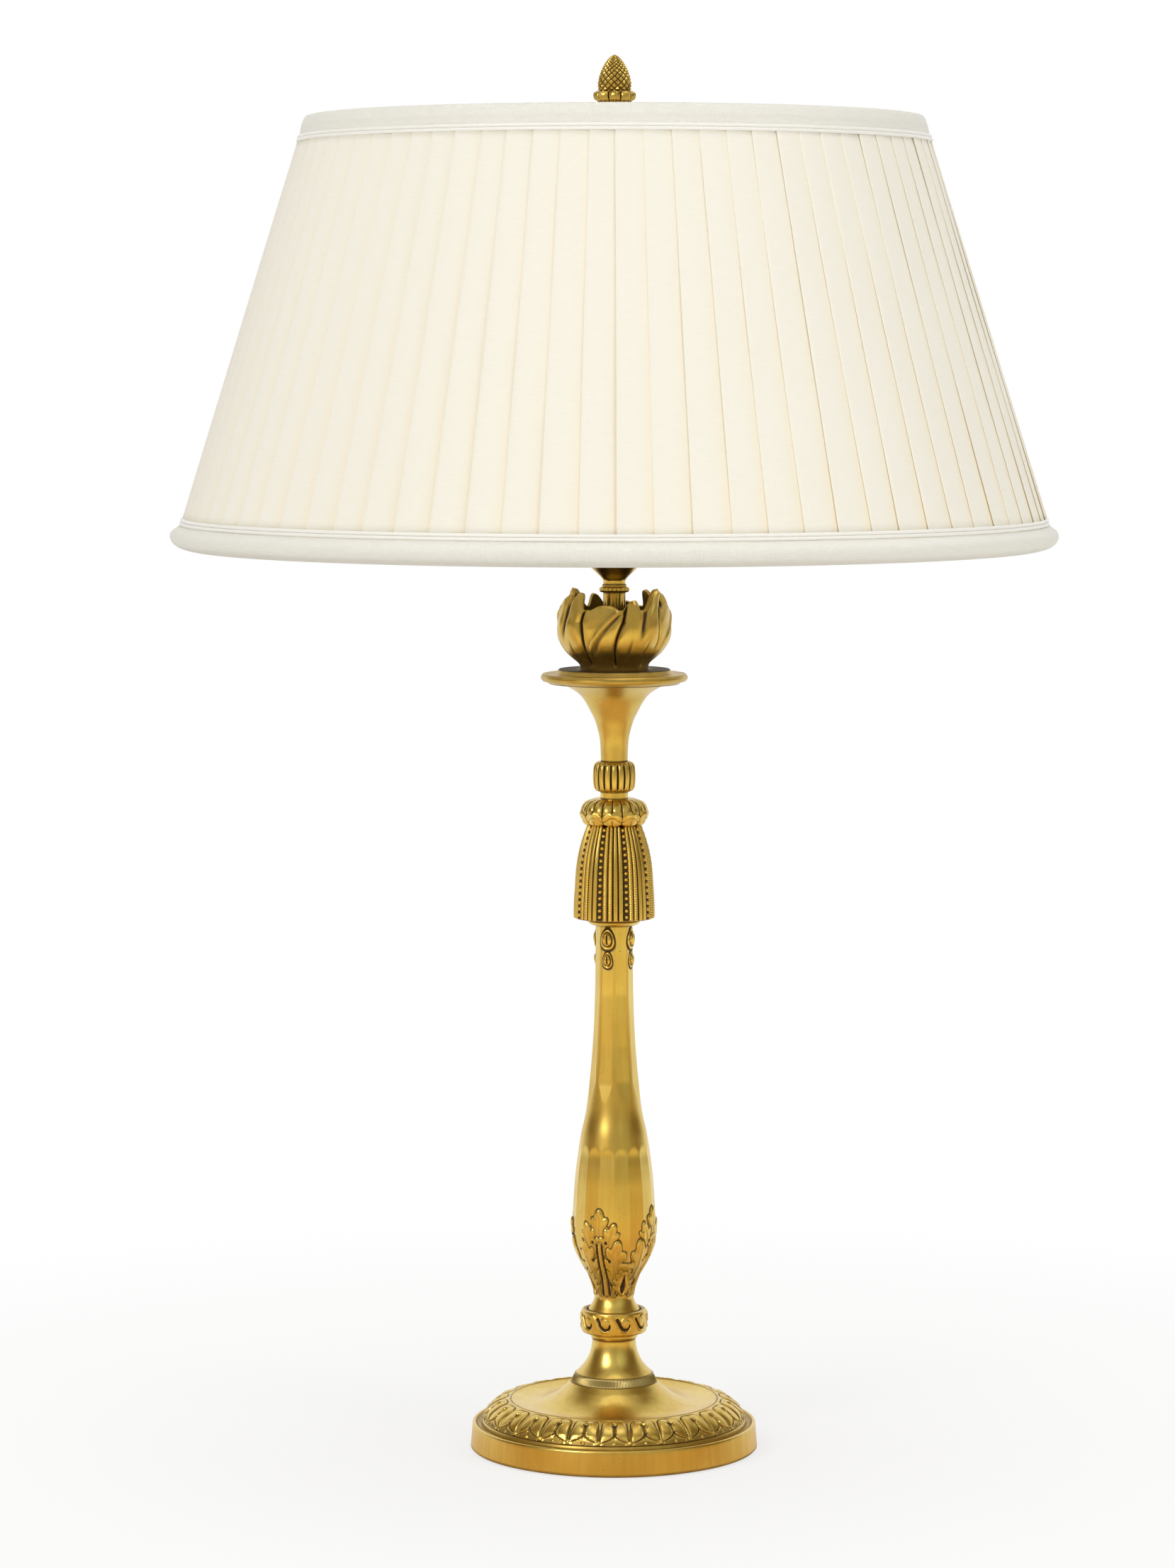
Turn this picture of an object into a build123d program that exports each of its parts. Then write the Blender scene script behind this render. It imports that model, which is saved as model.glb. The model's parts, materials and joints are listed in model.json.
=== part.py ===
from build123d import *

import os
from math import cos, hypot, pi, radians, sin

# A candlestick table lamp: a stack of turned and cast gilt-brass pieces threaded on one steel
# tube, a harp that carries a knife-pleated shade, and a pinecone finial that holds the shade down.
# Millimetres. +Z is up the stem and z = 0 is the underside of the felt. -Y is the front.

# ------------------------------------------------------------------ driving dimensions

# How far a cutting shape runs past the face that it cuts.
OVERRUN = 1.0

# The threaded tube that every piece of the stem is bored for.
ROD_RADIUS = 5.1
ROD_WIRE_HOLE = 3.4
ROD_CLEARANCE = 0.3
THREAD_CLEARANCE = 0.12
ROD_TAIL = 5.2
NUT_ACROSS_FLATS = 16.0
NUT_HEIGHT = 4.0
WASHER_RADIUS = 9.5
WASHER_HEIGHT = 1.2

# Foot, from the felt up to the knurled ring.
FOOT_RADIUS = 79.1
FOOT_DRAFT = 1.1
FOOT_WALL_HEIGHT = 14.7
FOOT_EDGE_ROUND = 1.1
FOOT_HEIGHT = 37.0
LIP_GROOVE_WIDTH = 3.6
LIP_GROOVE_DEPTH = 1.5
LIP_WIDTH = 1.7
BORDER_FILLET_HEIGHT = 1.9
BORDER_WIDTH = 15.1
BORDER_RISE = 10.6
BORDER_BULGE = 2.3
LEAF_COUNT = 26
LEAF_GROOVE = 0.8
LEAF_GROOVE_ENDS = 0.1
DISH_DIP = 2.2
DISH_DIP_FROM_BORDER = 12.0
CASTING_WALL = 4.0
RIM_WALL = 5.0
FELT_PROUD_OF_RIM = 0.8
FELT_THICKNESS = 1.8
FELT_INSET = 3.0
COVER_THICKNESS = 1.0
COVER_CLEARANCE = 0.3
COVER_TO_WEIGHT = 0.8
BOSS_RADIUS = 14.0
WEIGHT_THICKNESS = 11.0
WEIGHT_CLEARANCE = 6.0
WEIGHT_SLOT_WIDTH = 12.0
WEIGHT_RECESS_RADIUS = 13.0
CORD_HOLE_RADIUS = 3.2
CORD_BUSH_RADIUS = 4.6
CORD_BUSH_FIT = 0.05
CORD_BUSH_FLANGE_RADIUS = 6.2
CORD_BUSH_FLANGE = 1.8
CORD_BUSH_LENGTH = 8.0
CORD_HOLE_HEIGHT = 8.4

# Lower stem.
KNURL_FOOT_RADIUS = 23.9
KNURL_HEIGHT = 4.6
KNURL_ROUND = 1.0
NECK_FOOT_RADIUS = 20.8
NECK_TOP_RADIUS = 12.0
NECK_HEIGHT = 19.3
NECK_HOLLOW = 2.4
NECK_RING_RADIUS = 13.0
NECK_RING_HEIGHT = 3.7
WAVE_RADIUS = 18.3
WAVE_HEIGHT = 12.7
WAVE_BULGE = 0.6
WAVE_EDGE_ROUND = 1.4
WAVE_RECESS_RADIUS = 15.4
WAVE_RECESS_DEPTH = 1.0

# Baluster: a sixteen-sided belly that runs up into a softly eight-sided stem.
BALUSTER_HEIGHT = 213.2
BALUSTER_FOOT_RADIUS = 14.0
WAIST_RADIUS = 10.6
WAIST_HEIGHT = 9.6
BELLY_RADIUS = 22.6
BELLY_HEIGHT = 51.0
BELLY_FACETS = 16
FACET_ARCH_HEIGHT = 87.5
FACET_ARCH_DEPTH = 2.9
FACET_ARCH_RISE = 12.0
FACET_START = 4.0
# Where the belly's side passes above the waist, and below and above its widest height, and how
# much slimmer it is there than at its widest.
BELLY_LOW_RISE = 18.2
BELLY_LOW_SLIM = 4.2
BELLY_BELOW = 13.5
BELLY_ABOVE = 19.0
BELLY_NEAR_SLIM = 0.9
BELLY_SWELL_START = 0.26
WAIST_DRAW = 2.6
SHOULDER_FALL = 16.5
# The upper stem's flare below its top, as (share of its height, extra radius).
STEM_FLARE_LOW = (0.311, 1.8)
STEM_FLARE_HIGH = (0.622, 0.4)
STEM_SIDES_START = 40.0
FACET_EDGE_SINK = 0.15
SHOULDER_RADIUS = 15.0
SHOULDER_HEIGHT = 112.7
STEM_RADIUS = 10.1
STEM_SIDES = 8
STEM_SIDE_SOFTNESS = 1.03
HUSK_COUNT = 4
HUSK_START = -22.0
HUSK_PROUD = 2.1
HUSK_BELOW_TOP = 2.5
HUSK_LENGTH = 10.0
HUSK_RADIUS = 3.3
HUSK_TAPER = 0.8
HUSK_STALK = 0.42

# Tassel and its cap.
TASSEL_RING_RADIUS = 14.3
TASSEL_RING_HEIGHT = 3.5
TASSEL_RADIUS = 22.7
TASSEL_TOP_RADIUS = 14.9
TASSEL_HEIGHT = 51.0
TASSEL_SHOULDER = 24.0
TASSEL_SHOULDER_POWER = 2.4
TASSEL_COLUMNS = 9
TASSEL_CORD_RADIUS = 1.1
TASSEL_HEM_ROUND = 1.2
CAP_RADIUS = 18.9
CAP_HEIGHT = 14.6
CAP_LOBES = 9
CAP_NOTCH_RADIUS = 1.8

# Upper stem.
SPACER_WALL = 2.2
SPACER_HEIGHT = 3.9
REED_COLLAR_RADIUS = 11.8
REED_COLLAR_END_RADIUS = 8.6
REED_COLLAR_HEIGHT = 16.5
REED_COUNT = 18
TRUMPET_NECK_WALL = 1.9
TRUMPET_MOUTH_RADIUS = 28.3
TRUMPET_HEIGHT = 42.6
DRIP_RADIUS = 40.1
DRIP_FOOT_RADIUS = 37.5
DRIP_TOP_RADIUS = 30.7
DRIP_HEIGHT = 7.9
DRIP_FOOT_STEP = 1.4
DRIP_RIM_HEIGHT = 4.0
DRIP_EDGE = 1.2
DRIP_FOOT_DRAFT = 2.0
DRIP_TOP_ROUND = 0.6

# Flame cup with its swirling petals.
CUP_FOOT_RADIUS = 18.3
CUP_RADIUS = 31.0
CUP_WALL_HEIGHT = 27.0
CUP_TIP_RADIUS = 26.4
CUP_HEIGHT = 44.5
CUP_WALL = 1.8
CUP_FLOOR = 2.5
PETAL_COUNT = 8
PETAL_RELIEF = 0.9
PETAL_HALF_WIDTH = 10.6
PETAL_FOOT_HALF_WIDTH = 6.0
PETAL_SWEEP = 5.0
PETAL_START = 0.14
PETAL_END = 0.995
PETAL_FIRST = 12.0

# Riser through the cup and the pieces that carry the lampholder.
RISER_WALL = 0.7
RISER_LENGTH = 39.3
BEAD_RING_WALL = 2.8
BEAD_RING_HEIGHT = 2.9
BEAD_COUNT = 20
THIN_RING_WALL = 1.3
THIN_RING_HEIGHT = 1.4
HOLDER_CUP_NECK_WALL = 0.6
HOLDER_CUP_RADIUS = 15.0
HOLDER_CUP_HEIGHT = 13.3

# Harp: saddle, two ferrules that lock its legs, bow and threaded top.
HARP_HEIGHT = 228.6
HARP_WIRE_RADIUS = 2.0
HARP_HALF_WIDTH = 57.0
HARP_LEG_OFFSET = 31.0
HARP_WIDE_FROM = 0.36
HARP_WIDE_TO = 0.56
HARP_SHOULDER_DROP = 0.13
HARP_SHOULDER_WIDTH = 0.6
HARP_BENDS = [26.0, 40.0, 60.0, 45.0, 7.0]
SADDLE_THICKNESS = 1.6
SADDLE_WIDTH = 12.0
SADDLE_EYE_RIM = 3.2
SADDLE_HALF_FLAT = 18.0
SADDLE_ARM_RISE = 14.0
SADDLE_ARM_KNEE = 4.0
SADDLE_TAB = 1.4
SADDLE_POST_HEIGHT = 9.0
FERRULE_WALL = 1.0
FERRULE_LENGTH = 14.0
FERRULE_CLEARANCE = 0.1
FERRULE_TRAVEL = 12.0
HARP_SEAT_RADIUS = 8.5
HARP_SEAT_THICKNESS = 2.5
HARP_BLOCK_RADIUS = 5.5
HARP_BLOCK_HEIGHT = 6.0
STUD_RADIUS = 3.17
STUD_LENGTH = 11.0

# Lampholder with its turn-knob switch.
HOLDER_CAP_HEIGHT = 12.0
HOLDER_CAP_FOOT_RADIUS = 9.0
HOLDER_SHEET = 0.6
HOLDER_SHELL_HEIGHT = 46.0
HOLDER_OVERLAP = 4.0
SLEEVE_THICKNESS = 0.7
SLEEVE_CLEARANCE = 0.1
SLEEVE_TOP_INSET = 1.5
SCREW_SHELL_TO_SLEEVE = 0.8
HOLDER_BODY_TO_SLEEVE = 0.5
HOLDER_BODY_HEIGHT = 13.0
HOLDER_BODY_LIFT = 8.5
SWITCH_HEIGHT = 7.5
SWITCH_SHAFT_RADIUS = 2.0
SWITCH_SHAFT_CLEARANCE = 0.06
SWITCH_HOLE_RADIUS = 3.4
SWITCH_KNOB_RADIUS = 5.6
SWITCH_KNOB_LENGTH = 13.0
SWITCH_KNOB_GAP = 4.0
SWITCH_KNOB_FLUTES = 12
SWITCH_KNOB_COLLAR = 1.5
SCREW_SHELL_LENGTH = 24.0
SCREW_SHELL_WALL = 0.4
TONGUE_HALF_LENGTH = 6.0
TONGUE_HALF_WIDTH = 2.2
TONGUE_THICKNESS = 0.5
TONGUE_CROWN = 1.7
TONGUE_CROWN_HALF = 2.5

# Bulb: screw cap, contact and round glass.
BULB_CAP_RADIUS = 13.2
BULB_CAP_LENGTH = 24.0
BULB_CAP_WALL = 0.5
BULB_CAP_SHOULDER = 5.0
BULB_THREAD_GAP = 0.3
BULB_CONTACT_RADIUS = 4.5
BULB_CONTACT_HEIGHT = 2.2
BULB_CONTACT_GAP = 0.3
BULB_RADIUS = 30.0
BULB_GLASS_LENGTH = 91.0
BULB_GLASS_WALL = 0.8
BULB_SHOULDER_ANGLE = 32.0

# Shade: its straight cone is measured over the folds of the pleats.
SHADE_TOP_RADIUS = 166.2
SHADE_BOTTOM_RADIUS = 238.4
SHADE_HEIGHT = 231.0
SHADE_ABOVE_SEAT = 11.0
PLEAT_COUNT = 76
PLEAT_STEP = 1.9
PLEAT_LAP = 0.9
PLEAT_BACKING = 0.8
LINING_THICKNESS = 1.0
LINING_GAP = 0.05
RING_WIRE_RADIUS = 2.0
RING_FROM_EDGE = 3.4
BINDING_WALL = 0.9
BINDING_DEPTH = 11.5
BINDING_TOP_ROLL = 0.5
BINDING_BOTTOM_ROLL = 4.0
BINDING_EDGE_ROUND = 1.4
GIMP_WIDTH = 3.9
GIMP_PROUD = 1.1
GIMP_VALLEY = 0.2
GIMP_CLEARANCE = 0.1
SPIDER_ARMS = 3
SPIDER_START = 90.0
SPIDER_WIRE_RADIUS = 1.9
SPIDER_HUB_RADIUS = 11.0
SPIDER_HUB_THICKNESS = 1.7
SPIDER_BEND_INSET = 16.0
SPIDER_BEND_RADIUS = 12.0
WELD_GAP = 0.4
SPIDER_SLIT = 1.5
HUB_HOLE_CLEARANCE = 0.4

# Pinecone finial and the threaded bush inside it.
FINIAL_HEIGHT = 41.6
FINIAL_GAP = 0.2
FINIAL_FOOT_RADIUS = 8.0
FINIAL_FOOT_HEIGHT = 1.8
FINIAL_NECK_RADIUS = 5.6
FINIAL_NECK_HEIGHT = 7.0
FINIAL_CUP_RADIUS = 10.5
FINIAL_CONE_RADIUS = 8.8
FINIAL_CONE_LENGTH = 19.5
FINIAL_CUP_LOBES = 9
FINIAL_NOTCH_RADIUS = 1.1
FINIAL_NOTCH_LENGTH = 8.0
FINIAL_BUSH_RADIUS = 4.5
FINIAL_BUSH_LENGTH = 9.0
FINIAL_BUSH_GAP = 0.05
FINIAL_BORE_RELIEF = 1.0

# ------------------------------------------------------------------ sizes that follow

ROD_BORE = ROD_RADIUS + ROD_CLEARANCE
SPACER_RADIUS = ROD_BORE + SPACER_WALL
TRUMPET_NECK_RADIUS = ROD_BORE + TRUMPET_NECK_WALL
RISER_RADIUS = ROD_BORE + RISER_WALL
BEAD_RING_RADIUS = ROD_BORE + BEAD_RING_WALL
THIN_RING_RADIUS = ROD_BORE + THIN_RING_WALL
HOLDER_CUP_NECK_RADIUS = ROD_BORE + HOLDER_CUP_NECK_WALL
KNURL_Z = FOOT_HEIGHT
NECK_Z = KNURL_Z + KNURL_HEIGHT
NECK_RING_Z = NECK_Z + NECK_HEIGHT
WAVE_Z = NECK_RING_Z + NECK_RING_HEIGHT
BALUSTER_Z = WAVE_Z + WAVE_HEIGHT
TASSEL_RING_Z = BALUSTER_Z + BALUSTER_HEIGHT
TASSEL_Z = TASSEL_RING_Z + TASSEL_RING_HEIGHT
CAP_Z = TASSEL_Z + TASSEL_HEIGHT
SPACER_Z = CAP_Z + CAP_HEIGHT
REED_COLLAR_Z = SPACER_Z + SPACER_HEIGHT
TRUMPET_Z = REED_COLLAR_Z + REED_COLLAR_HEIGHT
DRIP_Z = TRUMPET_Z + TRUMPET_HEIGHT
CUP_Z = DRIP_Z + DRIP_HEIGHT
RISER_Z = CUP_Z + CUP_FLOOR
BEAD_RING_Z = RISER_Z + RISER_LENGTH
THIN_RING_Z = BEAD_RING_Z + BEAD_RING_HEIGHT
HOLDER_CUP_Z = THIN_RING_Z + THIN_RING_HEIGHT
SADDLE_Z = HOLDER_CUP_Z + HOLDER_CUP_HEIGHT
HOLDER_Z = SADDLE_Z + SADDLE_THICKNESS
HOLDER_SHELL_Z = HOLDER_Z + HOLDER_CAP_HEIGHT - HOLDER_OVERLAP
HOLDER_BODY_Z = HOLDER_Z + HOLDER_BODY_LIFT
SWITCH_Z = HOLDER_BODY_Z + SWITCH_HEIGHT
SCREW_SHELL_Z = HOLDER_BODY_Z + HOLDER_BODY_HEIGHT
ROD_TOP_Z = HOLDER_BODY_Z - 1.0
SEAT_Z = SADDLE_Z + HARP_HEIGHT
HUB_TOP_Z = SEAT_Z + SPIDER_HUB_THICKNESS
FINIAL_Z = HUB_TOP_Z + FINIAL_GAP
SHADE_TOP_Z = SEAT_Z + SHADE_ABOVE_SEAT
SHADE_BOTTOM_Z = SHADE_TOP_Z - SHADE_HEIGHT
SHADE_SPREAD = SHADE_BOTTOM_RADIUS - SHADE_TOP_RADIUS
SHADE_SLANT = hypot(SHADE_SPREAD, SHADE_HEIGHT)
COVER_Z = FELT_THICKNESS
WEIGHT_Z = COVER_Z + COVER_THICKNESS + COVER_TO_WEIGHT
RIM_INNER_RADIUS = FOOT_RADIUS - FOOT_DRAFT - RIM_WALL
LINING_OUT = -PLEAT_STEP - PLEAT_BACKING - LINING_GAP
LINING_IN = LINING_OUT - LINING_THICKNESS
SCREW_SHELL_RADIUS = BULB_CAP_RADIUS + BULB_THREAD_GAP + SCREW_SHELL_WALL
SLEEVE_INNER_RADIUS = SCREW_SHELL_RADIUS + SCREW_SHELL_TO_SLEEVE
SLEEVE_RADIUS = SLEEVE_INNER_RADIUS + SLEEVE_THICKNESS
HOLDER_BODY_RADIUS = SLEEVE_INNER_RADIUS - HOLDER_BODY_TO_SLEEVE
HOLDER_SHELL_RADIUS = SLEEVE_RADIUS + SLEEVE_CLEARANCE + HOLDER_SHEET
HOLDER_RADIUS = HOLDER_SHELL_RADIUS + SLEEVE_CLEARANCE + HOLDER_SHEET


# ------------------------------------------------------------------ ways of working


def upright(points, lift=0.0):
    """(radius, height) pairs as points in the XZ plane."""
    return [Vector(r, 0, z + lift) for r, z in points]


def curve(points, lift=0.0):
    """A smooth curve through (radius, height) pairs."""
    return Spline(*upright(points, lift))


def straight(points, lift=0.0):
    """Straight runs through (radius, height) pairs."""
    return Polyline(*upright(points, lift))


def bowed(start, end, hollow, lift=0.0):
    """An arc between two (radius, height) pairs, `hollow` deep, or swelling out if negative."""
    run, rise = end[0] - start[0], end[1] - start[1]
    length = hypot(run, rise)
    middle_radius = (start[0] + end[0]) / 2 - hollow * rise / length
    middle_height = (start[1] + end[1]) / 2 + hollow * run / length
    return ThreePointArc(*upright([start, (middle_radius, middle_height), end], lift))


def turned(outline, bore=ROD_BORE):
    """A piece turned about the stem from its outline, given bottom to top, round a straight bore."""
    edges = [edge for run in outline for edge in run.edges()]
    bottom, top = outline[0] @ 0, outline[-1] @ 1
    back = [Vector(bore, 0, top.Z), Vector(bore, 0, bottom.Z)]
    if (top - back[0]).length > 1e-6:
        back.insert(0, top)
    edges += Polyline(*back, bottom).edges()
    return revolve(make_face(edges), Axis.Z)


def ring_of(points):
    """A ring turned about the stem from a closed list of (radius, height) pairs."""
    return revolve(make_face(Polyline(*upright(points), close=True).edges()), Axis.Z)


def tube(outer, inner, low, high):
    """A plain tube on the stem axis."""
    return Pos(0, 0, low) * extrude(Circle(outer) - Circle(inner), high - low)


def disc(radius, low, high):
    """A plain disc on the stem axis."""
    return Pos(0, 0, low) * extrude(Circle(radius), high - low)


def around(piece, count, start=0.0):
    """The same piece turned to each of `count` places about the stem."""
    return [Rot(0, 0, start + 360 * i / count) * piece for i in range(count)]


def faceted(sides, levels):
    """A faceted envelope: regular polygons given as (corner radius, height), joined by flat faces."""
    faces = [Pos(0, 0, z) * RegularPolygon(radius, sides) for radius, z in levels]
    return loft(faces, ruled=True)


def on_slant(down, out):
    """The (radius, height) pair `down` the shade's slant from its top edge and `out` square to it."""
    run, fall = SHADE_SPREAD / SHADE_SLANT, SHADE_HEIGHT / SHADE_SLANT
    return SHADE_TOP_RADIUS + down * run + out * fall, SHADE_TOP_Z - down * fall + out * run


def slant_points(pairs):
    """(down, out) pairs of the shade's slant as points in the XZ plane."""
    return upright([on_slant(down, out) for down, out in pairs])


# ------------------------------------------------------------------ foot


def foot_levels():
    """Radii and heights that the outside and the inside of the foot share."""
    wall_top = FOOT_RADIUS - FOOT_DRAFT
    groove = wall_top - LIP_WIDTH
    border = groove - LIP_GROOVE_WIDTH
    dish = border - BORDER_WIDTH
    border_z = FOOT_WALL_HEIGHT + BORDER_FILLET_HEIGHT
    return wall_top, groove, border, dish, border_z


def foot_casting():
    wall_top, groove, border, dish, border_z = foot_levels()
    edge = wall_top - FOOT_EDGE_ROUND
    edge_z = FOOT_WALL_HEIGHT - FOOT_EDGE_ROUND
    groove_z = FOOT_WALL_HEIGHT - LIP_GROOVE_DEPTH
    dish_z = border_z + BORDER_RISE
    dip = (dish - DISH_DIP_FROM_BORDER, dish_z - DISH_DIP)
    outline = [
        straight([(FOOT_RADIUS, FELT_PROUD_OF_RIM), (wall_top, edge_z)]),
        bowed((wall_top, edge_z), (edge, FOOT_WALL_HEIGHT), -0.3 * FOOT_EDGE_ROUND),
        straight(
            [
                (edge, FOOT_WALL_HEIGHT),
                (groove, groove_z),
                (border, groove_z),
                (border, border_z),
            ]
        ),
        bowed((border, border_z), (dish, dish_z), -BORDER_BULGE),
        curve([(dish, dish_z), dip, (KNURL_FOOT_RADIUS, FOOT_HEIGHT)]),
    ]
    body = turned(outline) - foot_hollow(border, dish, border_z, dish_z)
    body -= disc(FOOT_RADIUS - FELT_INSET, 0, FELT_THICKNESS)
    body -= rearward(CORD_BUSH_RADIUS + CORD_BUSH_FIT, FOOT_RADIUS + 1, CORD_HOLE_HEIGHT)
    return body - around(leaf_groove(), LEAF_COUNT, -90 + 180 / LEAF_COUNT)


def leaf_groove():
    """A round-bottomed channel up the border, between two leaves."""
    _, _, border, dish, border_z = foot_levels()
    arc = bowed((border, border_z), (dish, border_z + BORDER_RISE), -BORDER_BULGE)
    path = arc.trim(LEAF_GROOVE_ENDS, 1 - LEAF_GROOVE_ENDS)
    return sweep(Plane(path @ 0, z_dir=path % 0) * Circle(LEAF_GROOVE), path)


def rearward(radius, reach, height):
    """A round bar from the stem axis out to the back."""
    bar = Cylinder(radius, reach, align=(Align.CENTER, Align.CENTER, Align.MIN))
    return Pos(0, 0, height) * Rot(-90, 0, 0) * bar


def foot_hollow(border, dish, border_z, dish_z):
    """The space under the casting, with the boss that the weight is clamped against left standing."""
    inner = RIM_INNER_RADIUS
    roof = FOOT_HEIGHT - 2 * CASTING_WALL
    boss_z = WEIGHT_Z + WEIGHT_THICKNESS
    return ring_of(
        [
            (BOSS_RADIUS, boss_z),
            (BOSS_RADIUS, roof),
            (KNURL_FOOT_RADIUS, roof - 1.0),
            (dish - DISH_DIP_FROM_BORDER, dish_z - DISH_DIP - CASTING_WALL - 0.5),
            (dish - CASTING_WALL / 2, dish_z - CASTING_WALL - 1.0),
            (border - CASTING_WALL, border_z - CASTING_WALL / 2),
            (inner, FOOT_WALL_HEIGHT - CASTING_WALL),
            (inner, -OVERRUN),
            (0, -OVERRUN),
            (0, boss_z),
        ]
    )


def base_weight():
    """An iron disc under the boss, recessed for the nut and slotted to the back for the lead."""
    radius = RIM_INNER_RADIUS - WEIGHT_CLEARANCE
    top = WEIGHT_Z + WEIGHT_THICKNESS
    body = tube(radius, ROD_BORE, WEIGHT_Z, top)
    body = chamfer(body.edges().filter_by(GeomType.CIRCLE).sort_by(SortBy.LENGTH)[-2:], 1.0)
    body -= disc(WEIGHT_RECESS_RADIUS, 0, WEIGHT_Z + NUT_HEIGHT + WASHER_HEIGHT)
    slot = Box(WEIGHT_SLOT_WIDTH, radius, WEIGHT_THICKNESS, align=(Align.CENTER, Align.MIN, Align.MIN))
    return body - Pos(0, WEIGHT_RECESS_RADIUS - 1.0, WEIGHT_Z + NUT_HEIGHT) * slot


def rod_nut():
    hexagon = RegularPolygon(NUT_ACROSS_FLATS / 2, 6, major_radius=False)
    nut = Pos(0, 0, WEIGHT_Z) * extrude(hexagon - Circle(ROD_RADIUS + THREAD_CLEARANCE), NUT_HEIGHT)
    return nut


def lock_washer():
    low = WEIGHT_Z + NUT_HEIGHT
    return tube(WASHER_RADIUS, ROD_BORE, low, low + WASHER_HEIGHT)


def cover_plate():
    return disc(RIM_INNER_RADIUS - COVER_CLEARANCE, COVER_Z, COVER_Z + COVER_THICKNESS)


def felt_pad():
    return disc(FOOT_RADIUS - FELT_INSET - COVER_CLEARANCE, 0, FELT_THICKNESS)


def cord_bushing():
    """A grommet pressed into the back of the rim; its bore is where a mains lead would enter."""
    start = FOOT_RADIUS + CORD_BUSH_FLANGE - CORD_BUSH_LENGTH
    barrel = extrude(Circle(CORD_BUSH_RADIUS), CORD_BUSH_LENGTH)
    flange = disc(CORD_BUSH_FLANGE_RADIUS, CORD_BUSH_LENGTH - CORD_BUSH_FLANGE, CORD_BUSH_LENGTH)
    bush = fillet((barrel + flange).edges().sort_by(Axis.Z)[-1], CORD_BUSH_FLANGE * 0.45)
    bush -= extrude(Circle(CORD_HOLE_RADIUS), CORD_BUSH_LENGTH)
    return Pos(0, start, CORD_HOLE_HEIGHT) * Rot(-90, 0, 0) * bush


# ------------------------------------------------------------------ stem


def threaded_rod():
    return tube(ROD_RADIUS, ROD_WIRE_HOLE, ROD_TAIL, ROD_TOP_Z)


def knurled_ring():
    edge = NECK_FOOT_RADIUS + 0.6
    return turned(
        [
            straight([(KNURL_FOOT_RADIUS, 0), (KNURL_FOOT_RADIUS, KNURL_ROUND)], KNURL_Z),
            bowed((KNURL_FOOT_RADIUS, KNURL_ROUND), (edge, KNURL_HEIGHT), -0.5, KNURL_Z),
        ]
    )


def foot_neck():
    return turned([bowed((NECK_FOOT_RADIUS, 0), (NECK_TOP_RADIUS, NECK_HEIGHT), NECK_HOLLOW, NECK_Z)])


def neck_ring():
    inner = NECK_RING_RADIUS - NECK_RING_HEIGHT / 4
    return turned([bowed((inner, 0), (inner, NECK_RING_HEIGHT), -NECK_RING_HEIGHT / 4, NECK_RING_Z)])


def wave_collar():
    side = WAVE_RADIUS - WAVE_BULGE
    top, edge = WAVE_HEIGHT, WAVE_EDGE_ROUND
    return turned(
        [
            bowed((side - edge, 0), (side, edge), -0.3 * edge, WAVE_Z),
            bowed((side, edge), (side, top - edge), -WAVE_BULGE, WAVE_Z),
            bowed((side, top - edge), (side - edge, top), -0.3 * edge, WAVE_Z),
            straight(
                [
                    (side - edge, top),
                    (WAVE_RECESS_RADIUS, top),
                    (WAVE_RECESS_RADIUS - 0.6, top - WAVE_RECESS_DEPTH),
                    (BALUSTER_FOOT_RADIUS + 0.3, top - WAVE_RECESS_DEPTH),
                    (BALUSTER_FOOT_RADIUS, top),
                ],
                WAVE_Z,
            ),
        ]
    )


def baluster():
    belly, shoulder = BELLY_HEIGHT, SHOULDER_HEIGHT
    swelling = WAIST_RADIUS + BELLY_SWELL_START * (BELLY_RADIUS - WAIST_RADIUS)
    stem = BALUSTER_HEIGHT - SHOULDER_HEIGHT
    low_share, low_flare = STEM_FLARE_LOW
    high_share, high_flare = STEM_FLARE_HIGH
    outline = [
        curve(
            [
                (BALUSTER_FOOT_RADIUS, 0),
                (BALUSTER_FOOT_RADIUS - WAIST_DRAW, WAIST_HEIGHT * 0.45),
                (WAIST_RADIUS, WAIST_HEIGHT),
                (swelling, WAIST_HEIGHT + BELLY_LOW_RISE / 2),
                (BELLY_RADIUS - BELLY_LOW_SLIM, WAIST_HEIGHT + BELLY_LOW_RISE),
                (BELLY_RADIUS - BELLY_NEAR_SLIM, belly - BELLY_BELOW),
                (BELLY_RADIUS, belly),
                (BELLY_RADIUS - BELLY_NEAR_SLIM, belly + BELLY_ABOVE),
                (SHOULDER_RADIUS + SHOULDER_FALL / 5, shoulder - SHOULDER_FALL),
                (SHOULDER_RADIUS, shoulder),
                (STEM_RADIUS + low_flare, shoulder + low_share * stem),
                (STEM_RADIUS + high_flare, shoulder + high_share * stem),
                (STEM_RADIUS, BALUSTER_HEIGHT),
            ],
            BALUSTER_Z,
        )
    ]
    body = turned(outline) & belly_facets() & stem_facets()
    return body + around(husk_drop(), HUSK_COUNT, HUSK_START)


def husk_drop():
    """Two buds hung one under the other, the lower one smaller, clear of the stem's bore."""
    top = BALUSTER_Z + BALUSTER_HEIGHT - HUSK_BELOW_TOP
    small = HUSK_TAPER
    upper = husk(HUSK_RADIUS, HUSK_LENGTH, HUSK_PROUD, top)
    lower = husk(HUSK_RADIUS * small, HUSK_LENGTH * small, HUSK_PROUD * small, top - HUSK_LENGTH)
    return upper + lower - disc(ROD_BORE, BALUSTER_Z, top)


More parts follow.
